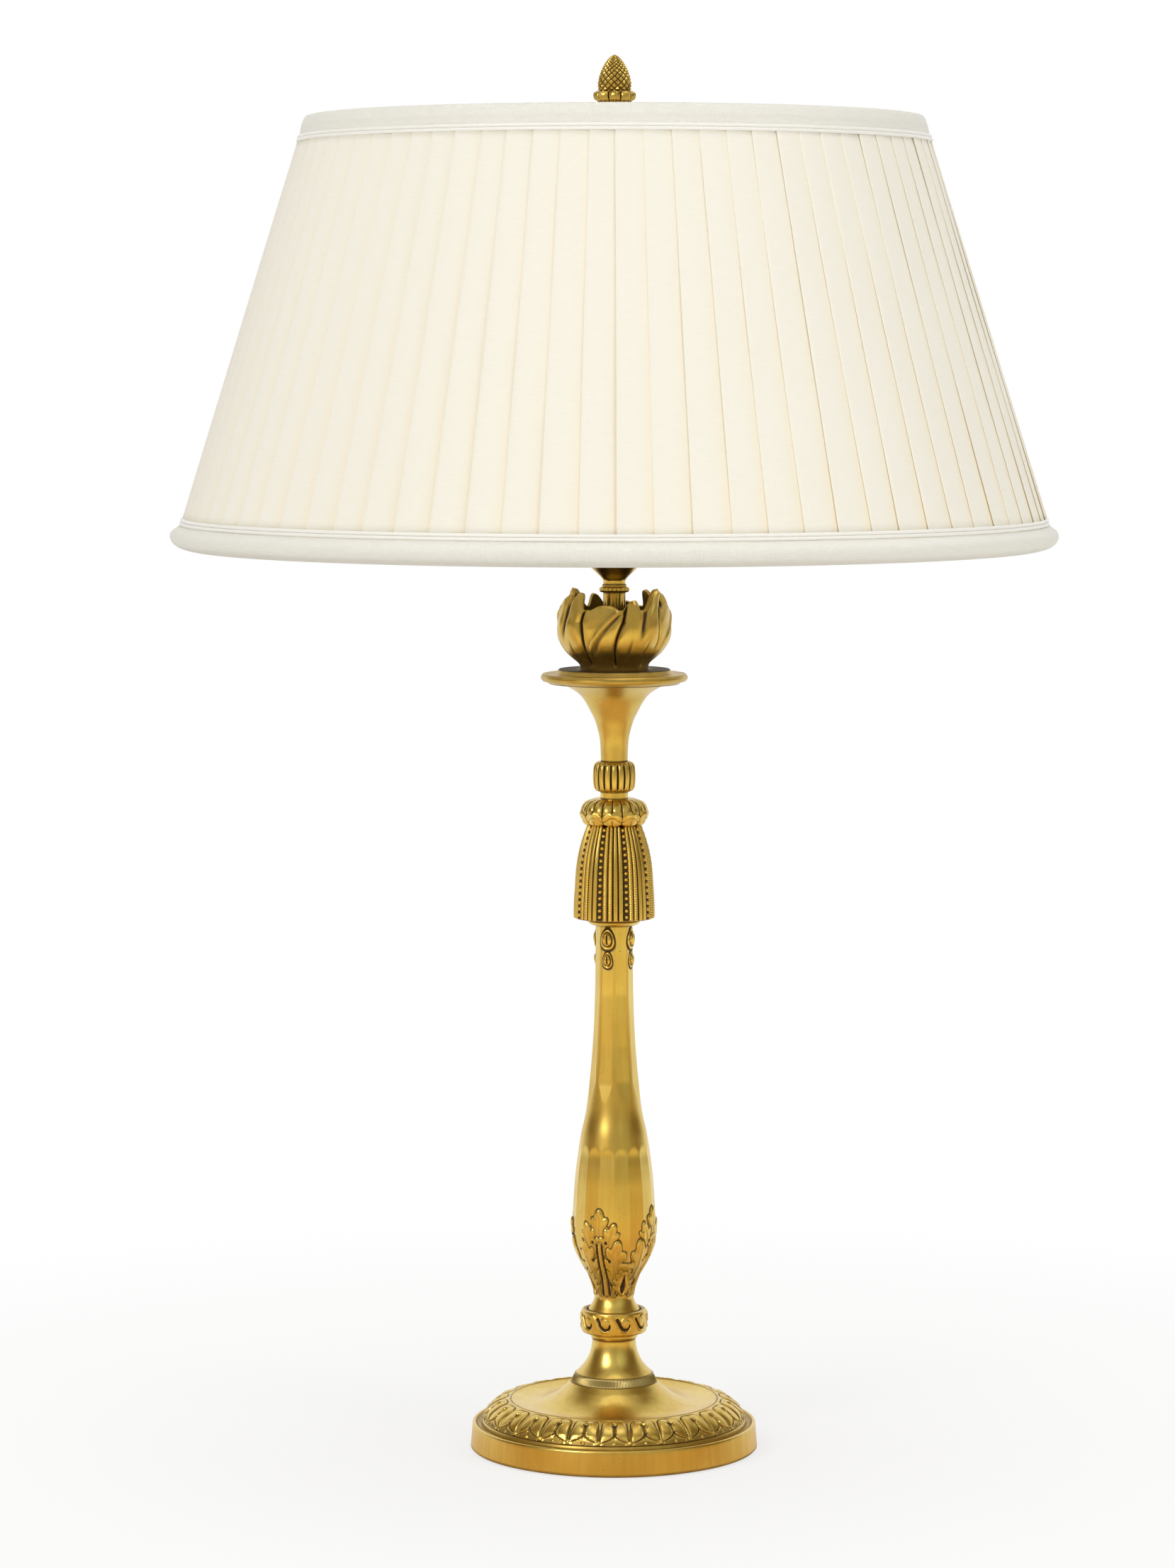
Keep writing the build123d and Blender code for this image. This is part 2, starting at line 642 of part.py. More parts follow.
def husk(radius, length, proud, top):
    """One bud, full below and closing to its stalk, standing `proud` of the stem."""
    points = [
        (0, -length),
        (radius * 0.8, -length * 0.86),
        (radius, -length * 0.55),
        (radius * HUSK_STALK, 0),
    ]
    side = Spline(*upright(points))
    bud = revolve(make_face(side.edges() + Polyline(side @ 1, (0, 0, 0), side @ 0).edges()), Axis.Z)
    return Pos(STEM_RADIUS + proud - radius, 0, top) * bud


def belly_facets():
    """Flats that leave the rounded belly in small arches at the shoulder."""
    edge = BELLY_RADIUS - FACET_EDGE_SINK
    clear = 3 * BELLY_RADIUS
    arch = (BELLY_RADIUS - FACET_ARCH_DEPTH) / cos(pi / BELLY_FACETS)
    levels = [
        (clear, -OVERRUN),
        (clear, WAIST_HEIGHT + FACET_START),
        (edge - BELLY_LOW_SLIM, WAIST_HEIGHT + BELLY_LOW_RISE),
        (edge - BELLY_NEAR_SLIM, BELLY_HEIGHT - BELLY_BELOW),
        (edge, BELLY_HEIGHT),
        (edge - BELLY_NEAR_SLIM, BELLY_HEIGHT + BELLY_ABOVE),
        (arch, FACET_ARCH_HEIGHT),
        (arch, FACET_ARCH_HEIGHT + FACET_ARCH_RISE),
        (clear, FACET_ARCH_HEIGHT + 2 * FACET_ARCH_RISE),
        (clear, BALUSTER_HEIGHT + OVERRUN),
    ]
    return Pos(0, 0, BALUSTER_Z) * faceted(BELLY_FACETS, levels)


def stem_facets():
    """Eight soft sides on the upper stem."""
    soft = STEM_SIDE_SOFTNESS
    clear = 3 * BELLY_RADIUS
    shoulder = SHOULDER_HEIGHT
    stem = BALUSTER_HEIGHT - shoulder
    share, flare = STEM_FLARE_HIGH
    levels = [
        (clear, -OVERRUN),
        (clear, shoulder - STEM_SIDES_START),
        (SHOULDER_RADIUS * soft + 2.4, shoulder - 8.0),
        ((SHOULDER_RADIUS - 1.6) * soft, shoulder + 0.14 * stem),
        ((STEM_RADIUS + 1.7) * soft, shoulder + 0.34 * stem),
        ((STEM_RADIUS + flare) * soft, shoulder + share * stem),
        (STEM_RADIUS * soft, BALUSTER_HEIGHT + OVERRUN),
    ]
    return Pos(0, 0, BALUSTER_Z) * faceted(STEM_SIDES, levels)


# ------------------------------------------------------------------ tassel


def tassel_ring():
    high = TASSEL_RING_HEIGHT
    inner = TASSEL_RING_RADIUS - high / 2
    return turned([bowed((inner, 0), (inner, high), -high / 2, TASSEL_RING_Z)])


def tassel_radius_at(z):
    """The tassel's skirt: nearly straight below, drawn in over the shoulder like an ellipse."""
    start = TASSEL_HEIGHT - TASSEL_SHOULDER
    if z <= start:
        return TASSEL_RADIUS
    share = (z - start) / TASSEL_SHOULDER
    return TASSEL_TOP_RADIUS + (TASSEL_RADIUS - TASSEL_TOP_RADIUS) * (1 - share**TASSEL_SHOULDER_POWER)


def tassel():
    sink = TASSEL_CORD_RADIUS / 2
    skirt = TASSEL_RADIUS - sink
    start = TASSEL_HEIGHT - TASSEL_SHOULDER
    heights = [start + share * TASSEL_SHOULDER for share in (0.0, 0.3, 0.55, 0.8, 1.0)]
    shoulder = [(tassel_radius_at(z) - sink, z) for z in heights]
    body = turned(
        [
            bowed((skirt - TASSEL_HEM_ROUND, 0), (skirt, TASSEL_HEM_ROUND), -0.3, TASSEL_Z),
            straight([(skirt, TASSEL_HEM_ROUND), shoulder[0]], TASSEL_Z),
            curve(shoulder, TASSEL_Z),
        ]
    )
    return body + around(bead_column(), TASSEL_COLUMNS, 68.0)


def bead_column():
    """One hanging string: a round cord laid down the skirt from the shoulder to the hem."""
    start = TASSEL_HEIGHT - TASSEL_SHOULDER
    sink = TASSEL_CORD_RADIUS / 2
    heights = [TASSEL_HEM_ROUND, start, start + 0.54 * TASSEL_SHOULDER, start + 0.83 * TASSEL_SHOULDER]
    knees = [(tassel_radius_at(z) - sink, z) for z in heights]
    path = FilletPolyline(*upright(knees, TASSEL_Z), radius=TASSEL_SHOULDER / 3)
    return sweep(Plane(path @ 0, z_dir=path % 0) * Circle(TASSEL_CORD_RADIUS), path)


def tassel_cap():
    low, high = CAP_Z, CAP_HEIGHT
    widest = (CAP_RADIUS, high * 0.52)
    body = turned(
        [
            curve([(TASSEL_TOP_RADIUS, 0), (CAP_RADIUS - 1.0, high * 0.28), widest], low),
            curve([widest, (CAP_RADIUS - 1.6, high * 0.84), (SPACER_RADIUS + 3.4, high)], low),
        ]
    )
    notch = Pos(CAP_RADIUS + 0.4, 0, low + high / 2) * Cylinder(CAP_NOTCH_RADIUS, 2 * high)
    return body - around(notch, CAP_LOBES, 8.0)


# ------------------------------------------------------------------ upper stem


def stem_spacer():
    return tube(SPACER_RADIUS, ROD_BORE, SPACER_Z, REED_COLLAR_Z)


def reeded_collar():
    """A barrel of half-round reeds."""
    reed = REED_COLLAR_RADIUS * sin(pi / REED_COUNT)
    reach = REED_COLLAR_RADIUS - reed
    section = Circle(reach) + around(Pos(reach, 0) * Circle(reed), REED_COUNT)
    bar = Pos(0, 0, REED_COLLAR_Z) * extrude(section, REED_COLLAR_HEIGHT)
    end, wide, high = REED_COLLAR_END_RADIUS, REED_COLLAR_RADIUS + 0.05, REED_COLLAR_HEIGHT
    barrel = turned(
        [
            bowed((end, 0), (wide, high * 0.24), -0.7, REED_COLLAR_Z),
            straight([(wide, high * 0.24), (wide, high * 0.76)], REED_COLLAR_Z),
            bowed((wide, high * 0.76), (end, high), -0.7, REED_COLLAR_Z),
        ]
    )
    return bar & barrel


def trumpet_stem():
    neck, mouth, high = TRUMPET_NECK_RADIUS, TRUMPET_MOUTH_RADIUS, TRUMPET_HEIGHT
    return turned(
        [
            curve(
                [
                    (neck, 0),
                    (neck + 0.5, high * 0.26),
                    (neck + 2.0, high * 0.43),
                    (neck + 4.5, high * 0.59),
                    (neck + 11.2, high * 0.85),
                    (mouth, high),
                ],
                TRUMPET_Z,
            )
        ]
    )


def drip_plate():
    foot, rim, top = DRIP_FOOT_STEP, DRIP_RIM_HEIGHT, DRIP_HEIGHT
    wide = DRIP_RADIUS - DRIP_EDGE
    below = [(DRIP_FOOT_RADIUS - DRIP_FOOT_DRAFT, 0), (DRIP_FOOT_RADIUS, foot), (wide, foot)]
    above = [
        (wide, foot + rim),
        (DRIP_TOP_RADIUS + 2 * DRIP_TOP_ROUND, foot + rim),
        (DRIP_TOP_RADIUS, top - DRIP_TOP_ROUND),
        (DRIP_TOP_RADIUS - DRIP_TOP_ROUND, top),
    ]
    rounded_edge = bowed((wide, foot), (wide, foot + rim), -DRIP_EDGE, DRIP_Z)
    return turned([straight(below, DRIP_Z), rounded_edge, straight(above, DRIP_Z)])


# ------------------------------------------------------------------ flame cup


def cup_side(offset=0.0):
    """(radius, height) pairs up the cup's side, from its foot to the petal tips."""
    foot, wide, tip, high = CUP_FOOT_RADIUS, CUP_RADIUS, CUP_TIP_RADIUS, CUP_HEIGHT
    pairs = [
        (foot, 0.0),
        (foot + 1.8, high * 0.115),
        (foot + 9.1, high * 0.27),
        (wide - 0.7, high * 0.42),
        (wide, high * 0.53),
        (wide - 0.7, high * 0.65),
        (tip + 1.7, high * 0.78),
        (tip, high),
    ]
    return [(r + offset, z) for r, z in pairs]


def cup_band(outward, inward):
    """The cup's side as a band between two offsets."""
    outer = curve(cup_side(outward), CUP_Z)
    inner = curve(cup_side(-inward), CUP_Z)
    ends = [Line(outer @ 0, inner @ 0), Line(outer @ 1, inner @ 1)]
    edges = [*outer.edges(), *inner.edges(), *(edge for end in ends for edge in end.edges())]
    return revolve(make_face(edges), Axis.Z)


def petal_outline():
    """A flame: narrow at the foot, full at the belly, with its tip swept to one side."""
    foot, wide, high = PETAL_FOOT_HALF_WIDTH, PETAL_HALF_WIDTH, CUP_HEIGHT
    start, tip = high * PETAL_START, (PETAL_SWEEP, high * PETAL_END)
    right = Spline((foot, start), (wide, high * 0.5), (wide * 0.62, high * 0.78), tip)
    left = Spline(tip, (-wide * 0.35, high * 0.82), (-wide, high * 0.52), (-foot, start))
    close = Line((-foot, start), (foot, start))
    return make_face([*right.edges(), *left.edges(), *close.edges()])


def flame_cup():
    bowl = cup_band(0.0, CUP_WALL) & disc(2 * CUP_RADIUS, CUP_Z, CUP_Z + CUP_WALL_HEIGHT)
    cutter = extrude(Plane.XZ * Pos(0, CUP_Z) * petal_outline(), 2 * CUP_RADIUS)
    petal = cup_band(PETAL_RELIEF, CUP_WALL) & cutter
    floor = tube(CUP_FOOT_RADIUS - CUP_WALL / 2, ROD_BORE, CUP_Z, CUP_Z + CUP_FLOOR)
    return bowl + floor + around(petal, PETAL_COUNT, PETAL_FIRST)


# ------------------------------------------------------------------ riser and holder cup


def riser_tube():
    return tube(RISER_RADIUS, ROD_BORE, RISER_Z, BEAD_RING_Z)


def beaded_ring():
    bead = BEAD_RING_HEIGHT / 2
    reach = BEAD_RING_RADIUS - bead
    core = tube(reach, ROD_BORE, BEAD_RING_Z, THIN_RING_Z)
    beads = around(Pos(reach, 0, BEAD_RING_Z + bead) * Sphere(bead * 0.98), BEAD_COUNT)
    return core + beads


def thin_ring():
    inner = THIN_RING_RADIUS - 0.4
    return turned([bowed((inner, 0), (inner, THIN_RING_HEIGHT), -0.4, THIN_RING_Z)])


def holder_cup():
    neck, wide, high = HOLDER_CUP_NECK_RADIUS, HOLDER_CUP_RADIUS, HOLDER_CUP_HEIGHT
    lip = (wide - 0.8, high * 0.78)
    side = [(neck, 0), (neck + 0.5, high * 0.22), (wide - 4.6, high * 0.52), lip]
    return turned(
        [curve(side, HOLDER_CUP_Z), bowed(lip, (wide - 0.4, high), -0.5, HOLDER_CUP_Z)]
    )


# ------------------------------------------------------------------ harp


def saddle_top():
    """Height of the saddle's posts, where the harp's legs stand on them."""
    return SADDLE_Z + SADDLE_ARM_RISE + SADDLE_POST_HEIGHT


def harp_saddle():
    """A bent strip clamped under the lampholder, with a round post at each end."""
    half, reach, thick = SADDLE_HALF_FLAT, HARP_LEG_OFFSET, SADDLE_THICKNESS
    rise, knee, tab = SADDLE_ARM_RISE, SADDLE_ARM_KNEE, SADDLE_TAB
    under = [(half, 0), (reach + tab, rise - knee), (reach + tab, rise)]
    over = [(reach - tab, rise), (reach - tab, rise - knee + 0.6), (half - 0.7, thick)]
    right = [(x, 0, z + SADDLE_Z) for x, z in under + over]
    left = [(-x, 0, z) for x, _, z in reversed(right)]
    strip = extrude(make_face(Polyline(*right, *left, close=True).edges()), SADDLE_WIDTH / 2, both=True)
    eye = disc(ROD_BORE + SADDLE_EYE_RIM, SADDLE_Z, SADDLE_Z + thick)
    post = Pos(reach, 0, SADDLE_Z + rise) * extrude(Circle(HARP_WIRE_RADIUS), SADDLE_POST_HEIGHT)
    return strip + eye + around(post, 2) - disc(ROD_BORE, SADDLE_Z - 1, SADDLE_Z + thick + 1)


def harp_bow():
    """The bow: one wire up from each post, out round the bulb and in to the block at the top."""
    leg, wide = HARP_LEG_OFFSET, HARP_HALF_WIDTH
    top = SEAT_Z - HARP_SEAT_THICKNESS - HARP_BLOCK_HEIGHT / 2
    low = saddle_top()
    rise = top - low
    right = [
        (leg, 0, low),
        (leg, 0, low + FERRULE_LENGTH + FERRULE_TRAVEL),
        (wide, 0, low + HARP_WIDE_FROM * rise),
        (wide, 0, low + HARP_WIDE_TO * rise),
        (wide * HARP_SHOULDER_WIDTH, 0, top - HARP_SHOULDER_DROP * rise),
        (2 * HARP_BLOCK_RADIUS - 1.5, 0, top),
    ]
    left = [(-x, y, z) for x, y, z in reversed(right)]
    path = FilletPolyline(*right, *left, radius=HARP_BENDS + HARP_BENDS[::-1])
    return sweep(Pos(leg, 0, low) * Circle(HARP_WIRE_RADIUS), path)


def ferrule(side):
    """A sleeve that drops over the joint between a post and a leg."""
    low = saddle_top() - FERRULE_LENGTH / 2
    inner = HARP_WIRE_RADIUS + FERRULE_CLEARANCE
    sleeve = extrude(Circle(inner + FERRULE_WALL) - Circle(inner), FERRULE_LENGTH)
    edges = sleeve.edges().filter_by(GeomType.CIRCLE).sort_by(SortBy.LENGTH)[-2:]
    return Pos(side * HARP_LEG_OFFSET, 0, low) * chamfer(edges, FERRULE_WALL / 2)


def harp_top():
    """The block that the bow runs through, the seat for the shade and the stud for the finial."""
    block_z = SEAT_Z - HARP_SEAT_THICKNESS - HARP_BLOCK_HEIGHT
    block = disc(HARP_BLOCK_RADIUS, block_z, SEAT_Z - HARP_SEAT_THICKNESS)
    seat = disc(HARP_SEAT_RADIUS, SEAT_Z - HARP_SEAT_THICKNESS, SEAT_Z)
    stud = disc(STUD_RADIUS, SEAT_Z, SEAT_Z + STUD_LENGTH)
    stud = chamfer(stud.edges().sort_by(Axis.Z)[-1], 0.6)
    bore = Rot(0, 90, 0) * Cylinder(HARP_WIRE_RADIUS + THREAD_CLEARANCE, 4 * HARP_BLOCK_RADIUS)
    return block + seat + stud - Pos(0, 0, block_z + HARP_BLOCK_HEIGHT / 2) * bore


# ------------------------------------------------------------------ lampholder and switch


def holder_cap():
    foot, wide, high = HOLDER_CAP_FOOT_RADIUS, HOLDER_RADIUS, HOLDER_CAP_HEIGHT
    shoulder, bore = high - HOLDER_OVERLAP, wide - HOLDER_SHEET
    outside = [(foot, 0), (foot + 1.0, 1.4), (wide - 1.4, shoulder * 0.72), (wide, shoulder)]
    inside = [(foot - HOLDER_SHEET, 2.0), (foot + 0.2, 2.4)]
    inside += [(wide - 2.2, shoulder * 0.78), (bore, shoulder)]
    outer = [curve(outside, HOLDER_Z), straight([(wide, shoulder), (wide, high)], HOLDER_Z)]
    inner = [curve(inside, HOLDER_Z), straight([(bore, shoulder), (bore, high + OVERRUN)], HOLDER_Z)]
    return turned(outer, ROD_RADIUS + THREAD_CLEARANCE) - turned(inner, 0)


def switch_cut(radius):
    """The round way that the switch shaft takes out to the front."""
    bar = Cylinder(radius, 2 * HOLDER_RADIUS, align=(Align.CENTER, Align.CENTER, Align.MIN))
    return Pos(0, 0, SWITCH_Z) * Rot(90, 0, 0) * bar


def holder_shell():
    outer, low = HOLDER_SHELL_RADIUS, HOLDER_SHELL_Z
    shell = tube(outer, outer - HOLDER_SHEET, low, low + HOLDER_SHELL_HEIGHT)
    return shell - switch_cut(SWITCH_HOLE_RADIUS)


def insulating_sleeve():
    top = HOLDER_SHELL_Z + HOLDER_SHELL_HEIGHT - SLEEVE_TOP_INSET
    return tube(SLEEVE_RADIUS, SLEEVE_INNER_RADIUS, HOLDER_BODY_Z, top) - switch_cut(SWITCH_HOLE_RADIUS)


def holder_body():
    """The moulded block that holds the switch and the screw shell."""
    body = disc(HOLDER_BODY_RADIUS, HOLDER_BODY_Z, SCREW_SHELL_Z)
    body = chamfer(body.edges(), 0.8)
    return body - switch_cut(SWITCH_SHAFT_RADIUS + SWITCH_SHAFT_CLEARANCE)


def screw_shell():
    inner = SCREW_SHELL_RADIUS - SCREW_SHELL_WALL
    return tube(SCREW_SHELL_RADIUS, inner, SCREW_SHELL_Z, SCREW_SHELL_Z + SCREW_SHELL_LENGTH)


def contact_tongue():
    """The springy strip that meets the bulb's contact."""
    half, crown, thick = TONGUE_HALF_LENGTH, TONGUE_CROWN_HALF, TONGUE_THICKNESS
    right = [(half, 0), (half, thick), (crown, TONGUE_CROWN)]
    left = [(-x, z) for x, z in reversed(right)]
    profile = Polyline(*upright(right + left, SCREW_SHELL_Z), close=True)
    return extrude(make_face(profile.edges()), TONGUE_HALF_WIDTH, both=True)


def switch_shaft():
    start = SWITCH_SHAFT_RADIUS + 1.0
    length = HOLDER_RADIUS + SWITCH_KNOB_GAP + SWITCH_KNOB_LENGTH / 2 - start
    shaft = Cylinder(SWITCH_SHAFT_RADIUS, length, align=(Align.CENTER, Align.CENTER, Align.MIN))
    return Pos(0, -start, SWITCH_Z) * Rot(90, 0, 0) * shaft


def switch_knob():
    """A fluted knob on the end of the shaft."""
    start = HOLDER_RADIUS + SWITCH_KNOB_GAP
    bore = SWITCH_SHAFT_RADIUS + THREAD_CLEARANCE
    collar = SWITCH_KNOB_COLLAR
    flute = SWITCH_KNOB_RADIUS * sin(pi / SWITCH_KNOB_FLUTES) * 0.55
    groove = Pos(SWITCH_KNOB_RADIUS + flute * 0.3, 0) * Circle(flute)
    grip = extrude(Circle(SWITCH_KNOB_RADIUS) - around(groove, SWITCH_KNOB_FLUTES), SWITCH_KNOB_LENGTH)
    body = grip + disc(SWITCH_KNOB_RADIUS - collar, -collar, 0)
    body -= disc(bore, -collar, SWITCH_KNOB_LENGTH / 2 + SWITCH_SHAFT_CLEARANCE)
    return Pos(0, -start, SWITCH_Z) * Rot(90, 0, 0) * body


# ------------------------------------------------------------------ bulb


def bulb_levels():
    """Heights of the contact's foot, the cap's foot and the glass's foot."""
    contact = SCREW_SHELL_Z + TONGUE_CROWN + BULB_CONTACT_GAP
    cap = contact + BULB_CONTACT_HEIGHT
    return contact, cap, cap + BULB_CAP_LENGTH


def bulb_contact():
    contact, cap, _ = bulb_levels()
    button = disc(BULB_CONTACT_RADIUS, contact, cap)
    return chamfer(button.edges().sort_by(Axis.Z)[0], 0.9)


def bulb_cap():
    _, cap, glass = bulb_levels()
    radius, shoulder = BULB_CAP_RADIUS, BULB_CAP_SHOULDER
    cup = turned(
        [
            bowed((BULB_CONTACT_RADIUS, 0), (radius, shoulder), -1.2, cap),
            straight([(radius, shoulder), (radius, BULB_CAP_LENGTH)], cap),
        ],
        0,
    )
    return cup - disc(radius - BULB_CAP_WALL, cap + shoulder, glass + 1)


def bulb_glass():
    _, _, low = bulb_levels()
    return glass_body(low, 0.0) - glass_body(low, BULB_GLASS_WALL)


def glass_body(low, wall):
    """The envelope as a solid, or its inside when a wall is given: a waisted neck under a ball."""
    ball = BULB_RADIUS - wall
    neck = BULB_CAP_RADIUS - BULB_CAP_WALL - wall
    centre = BULB_GLASS_LENGTH - BULB_RADIUS
    turn = radians(BULB_SHOULDER_ANGLE)
    shoulder = (ball * cos(turn), centre - ball * sin(turn))
    side = (ball * cos(turn / 2), centre + ball * sin(turn / 2))
    foot = -1.0 if wall else 0.0
    ends = upright([(neck, foot), shoulder], low)
    throat = Spline(*ends, tangents=[(0, 0, 1), (sin(turn), 0, cos(turn))])
    belly = ThreePointArc(*upright([shoulder, side, (0, centre + ball)], low))
    return turned([throat, belly], 0)


# ------------------------------------------------------------------ shade


def pleat_ring(down):
    """The folded cloth's zigzag outline at one height: a long leaf, then the step back under it."""
    radius, z = on_slant(down, 0.0)
    pitch = 2 * pi / PLEAT_COUNT
    points = []
    for i in range(PLEAT_COUNT):
        valley, fold = pitch * i, pitch * (i + PLEAT_LAP)
        points.append(((radius - PLEAT_STEP) * cos(valley), (radius - PLEAT_STEP) * sin(valley), z))
        points.append((radius * cos(fold), radius * sin(fold), z))
    return make_face(Polyline(*points, close=True).edges())


def backing_ring(down):
    """The flat-sided outline of the cloth's inner face at one height, clear of the lining."""
    radius, z = on_slant(down, LINING_OUT + LINING_GAP)
    corner = radius / cos(pi / PLEAT_COUNT)
    return Pos(0, 0, z) * RegularPolygon(corner, PLEAT_COUNT)


def shade_cover():
    """The knife-pleated cloth between the two gimps."""
    top = BINDING_DEPTH + GIMP_WIDTH - LINING_OUT * SHADE_SPREAD / SHADE_HEIGHT
    bottom = SHADE_SLANT - BINDING_DEPTH - GIMP_WIDTH
    spare = 4 * BINDING_DEPTH
    folds = loft([pleat_ring(bottom), pleat_ring(top)], ruled=True)
    return folds - loft([backing_ring(bottom + spare), backing_ring(top - spare)], ruled=True)


def shade_band(top, bottom, outer, inner):
    """A conical band of the shade between two distances down its slant."""
    corners = [(top, outer), (bottom, outer), (bottom, inner), (top, inner)]
    return ring_of([on_slant(down, out) for down, out in corners])


def shade_lining():
    edge = BINDING_WALL + 0.2
    return shade_band(edge, SHADE_SLANT - edge, LINING_OUT, LINING_IN)


def frame_ring(down):
    """A ring of the wire frame, lying inside the lining."""
    radius, z = on_slant(down, LINING_IN - LINING_GAP - RING_WIRE_RADIUS)
    return Pos(0, 0, z) * Torus(radius, RING_WIRE_RADIUS)


def binding(down, way, roll):
    """Ribbon folded over an edge of the shade and its frame ring, from the edge at `down`.

    `way` is 1 where the ribbon runs down the slant from that edge and -1 where it runs up, and
    `roll` is how far its face swells out.
    """
    depth, wall = BINDING_DEPTH, BINDING_WALL
    flap = LINING_OUT + LINING_GAP
    deep = LINING_IN - 2 * RING_WIRE_RADIUS - 3 * LINING_GAP
    inside = 2 * RING_FROM_EDGE
    face = [(depth, 0.0), (depth * 0.55, roll), (wall, roll * 0.4), (0, -BINDING_EDGE_ROUND)]
    rest = [
        face[-1],
        (0, deep),
        (wall, deep - wall),
        (inside, deep - wall),
        (inside, deep),
        (wall, deep),
        (wall, flap),
        (depth, flap),
        face[0],
    ]
    outer = Spline(*slant_points([(down + way * along, out) for along, out in face]))
    inner = Polyline(*slant_points([(down + way * along, out) for along, out in rest]))
    return revolve(make_face(outer.edges() + inner.edges()), Axis.Z)


def ribbon_top():
    """The upper binding, slit on the inside where each arm of the spider reaches the ring."""
    radius, z = on_slant(RING_FROM_EDGE, LINING_IN - RING_WIRE_RADIUS)
    depth = SHADE_ABOVE_SEAT
    slit = Box(2 * depth, 2 * (SPIDER_WIRE_RADIUS + SPIDER_SLIT), 2 * depth)
    slit = Pos(radius - depth, 0, z - depth + RING_WIRE_RADIUS) * slit
    return binding(0.0, 1, BINDING_TOP_ROLL) - around(slit, SPIDER_ARMS, SPIDER_START)


def gimp(top):
    """Braid of two cords side by side that hides the raw edge of the ribbon."""
    flap, valley, proud = LINING_OUT + LINING_GAP, GIMP_VALLEY, GIMP_PROUD
    half, start = GIMP_WIDTH / 2, top + GIMP_CLEARANCE
    middle, end = top + half, top + GIMP_WIDTH - GIMP_CLEARANCE
    upper = ThreePointArc(*slant_points([(start, valley), (top + half / 2, proud), (middle, valley)]))
    lower = ThreePointArc(*slant_points([(middle, valley), (middle + half / 2, proud), (end, valley)]))
    back = Polyline(*slant_points([(end, valley), (end, flap), (start, flap), (start, valley)]))
    return revolve(make_face(upper.edges() + lower.edges() + back.edges()), Axis.Z)


def spider_hub():
    body = tube(SPIDER_HUB_RADIUS, STUD_RADIUS + HUB_HOLE_CLEARANCE, SEAT_Z, HUB_TOP_Z)
    return chamfer(body.edges().filter_by(GeomType.CIRCLE).sort_by(SortBy.LENGTH)[-2:], 0.4)


def spider_arms():
    """Wires from the rim of the hub, level and then up to the top ring."""
    ring_radius, ring_z = on_slant(RING_FROM_EDGE, LINING_IN - LINING_GAP - RING_WIRE_RADIUS)
    level = SEAT_Z + SPIDER_HUB_THICKNESS / 2
    end = ring_radius - RING_WIRE_RADIUS - WELD_GAP
    path = FilletPolyline(
        (SPIDER_HUB_RADIUS + LINING_GAP, 0, level),
        (end - SPIDER_BEND_INSET, 0, level),
        (end, 0, ring_z),
        radius=SPIDER_BEND_RADIUS,
    )
    arm = sweep(Plane(path @ 0, z_dir=path % 0) * Circle(SPIDER_WIRE_RADIUS), path)
    return Compound(children=around(arm, SPIDER_ARMS, SPIDER_START))


# ------------------------------------------------------------------ finial


def finial():
    """A pinecone standing in a cup of leaves, on a turned foot."""
    foot = (FINIAL_FOOT_RADIUS, FINIAL_FOOT_HEIGHT)
    cone_foot = (FINIAL_CONE_RADIUS - 0.6, FINIAL_HEIGHT - FINIAL_CONE_LENGTH)
    lip = (FINIAL_CUP_RADIUS, cone_foot[1] - 1.0)
    cup_side = (FINIAL_CUP_RADIUS - 1.6, lip[1] - 3.6)
    full = (FINIAL_CONE_RADIUS - 0.4, FINIAL_HEIGHT - 0.8 * FINIAL_CONE_LENGTH)
    upper = (0.62 * FINIAL_CONE_RADIUS, FINIAL_HEIGHT - 0.3 * FINIAL_CONE_LENGTH)
    body = turned(
        [
            straight([(FINIAL_FOOT_RADIUS, 0), foot], FINIAL_Z),
            curve([foot, (FINIAL_NECK_RADIUS, FINIAL_NECK_HEIGHT), cup_side, lip], FINIAL_Z),
            straight([lip, cone_foot], FINIAL_Z),
            curve([cone_foot, full, upper, (1.6, FINIAL_HEIGHT - 0.5), (0.0, FINIAL_HEIGHT)], FINIAL_Z),
        ],
        0,
    )
    notch = Pos(lip[0] + 0.5, 0, FINIAL_Z + lip[1]) * Cylinder(FINIAL_NOTCH_RADIUS, FINIAL_NOTCH_LENGTH)
    body -= around(notch, FINIAL_CUP_LOBES)
    bore_top = FINIAL_Z + STUD_LENGTH + FINIAL_BORE_RELIEF
    return body - disc(FINIAL_BUSH_RADIUS + FINIAL_BUSH_GAP, FINIAL_Z - 1, bore_top)


def finial_bush():
    low = FINIAL_Z + FINIAL_GAP
    return tube(FINIAL_BUSH_RADIUS, STUD_RADIUS + THREAD_CLEARANCE, low, low + FINIAL_BUSH_LENGTH)


# ------------------------------------------------------------------ all the pieces


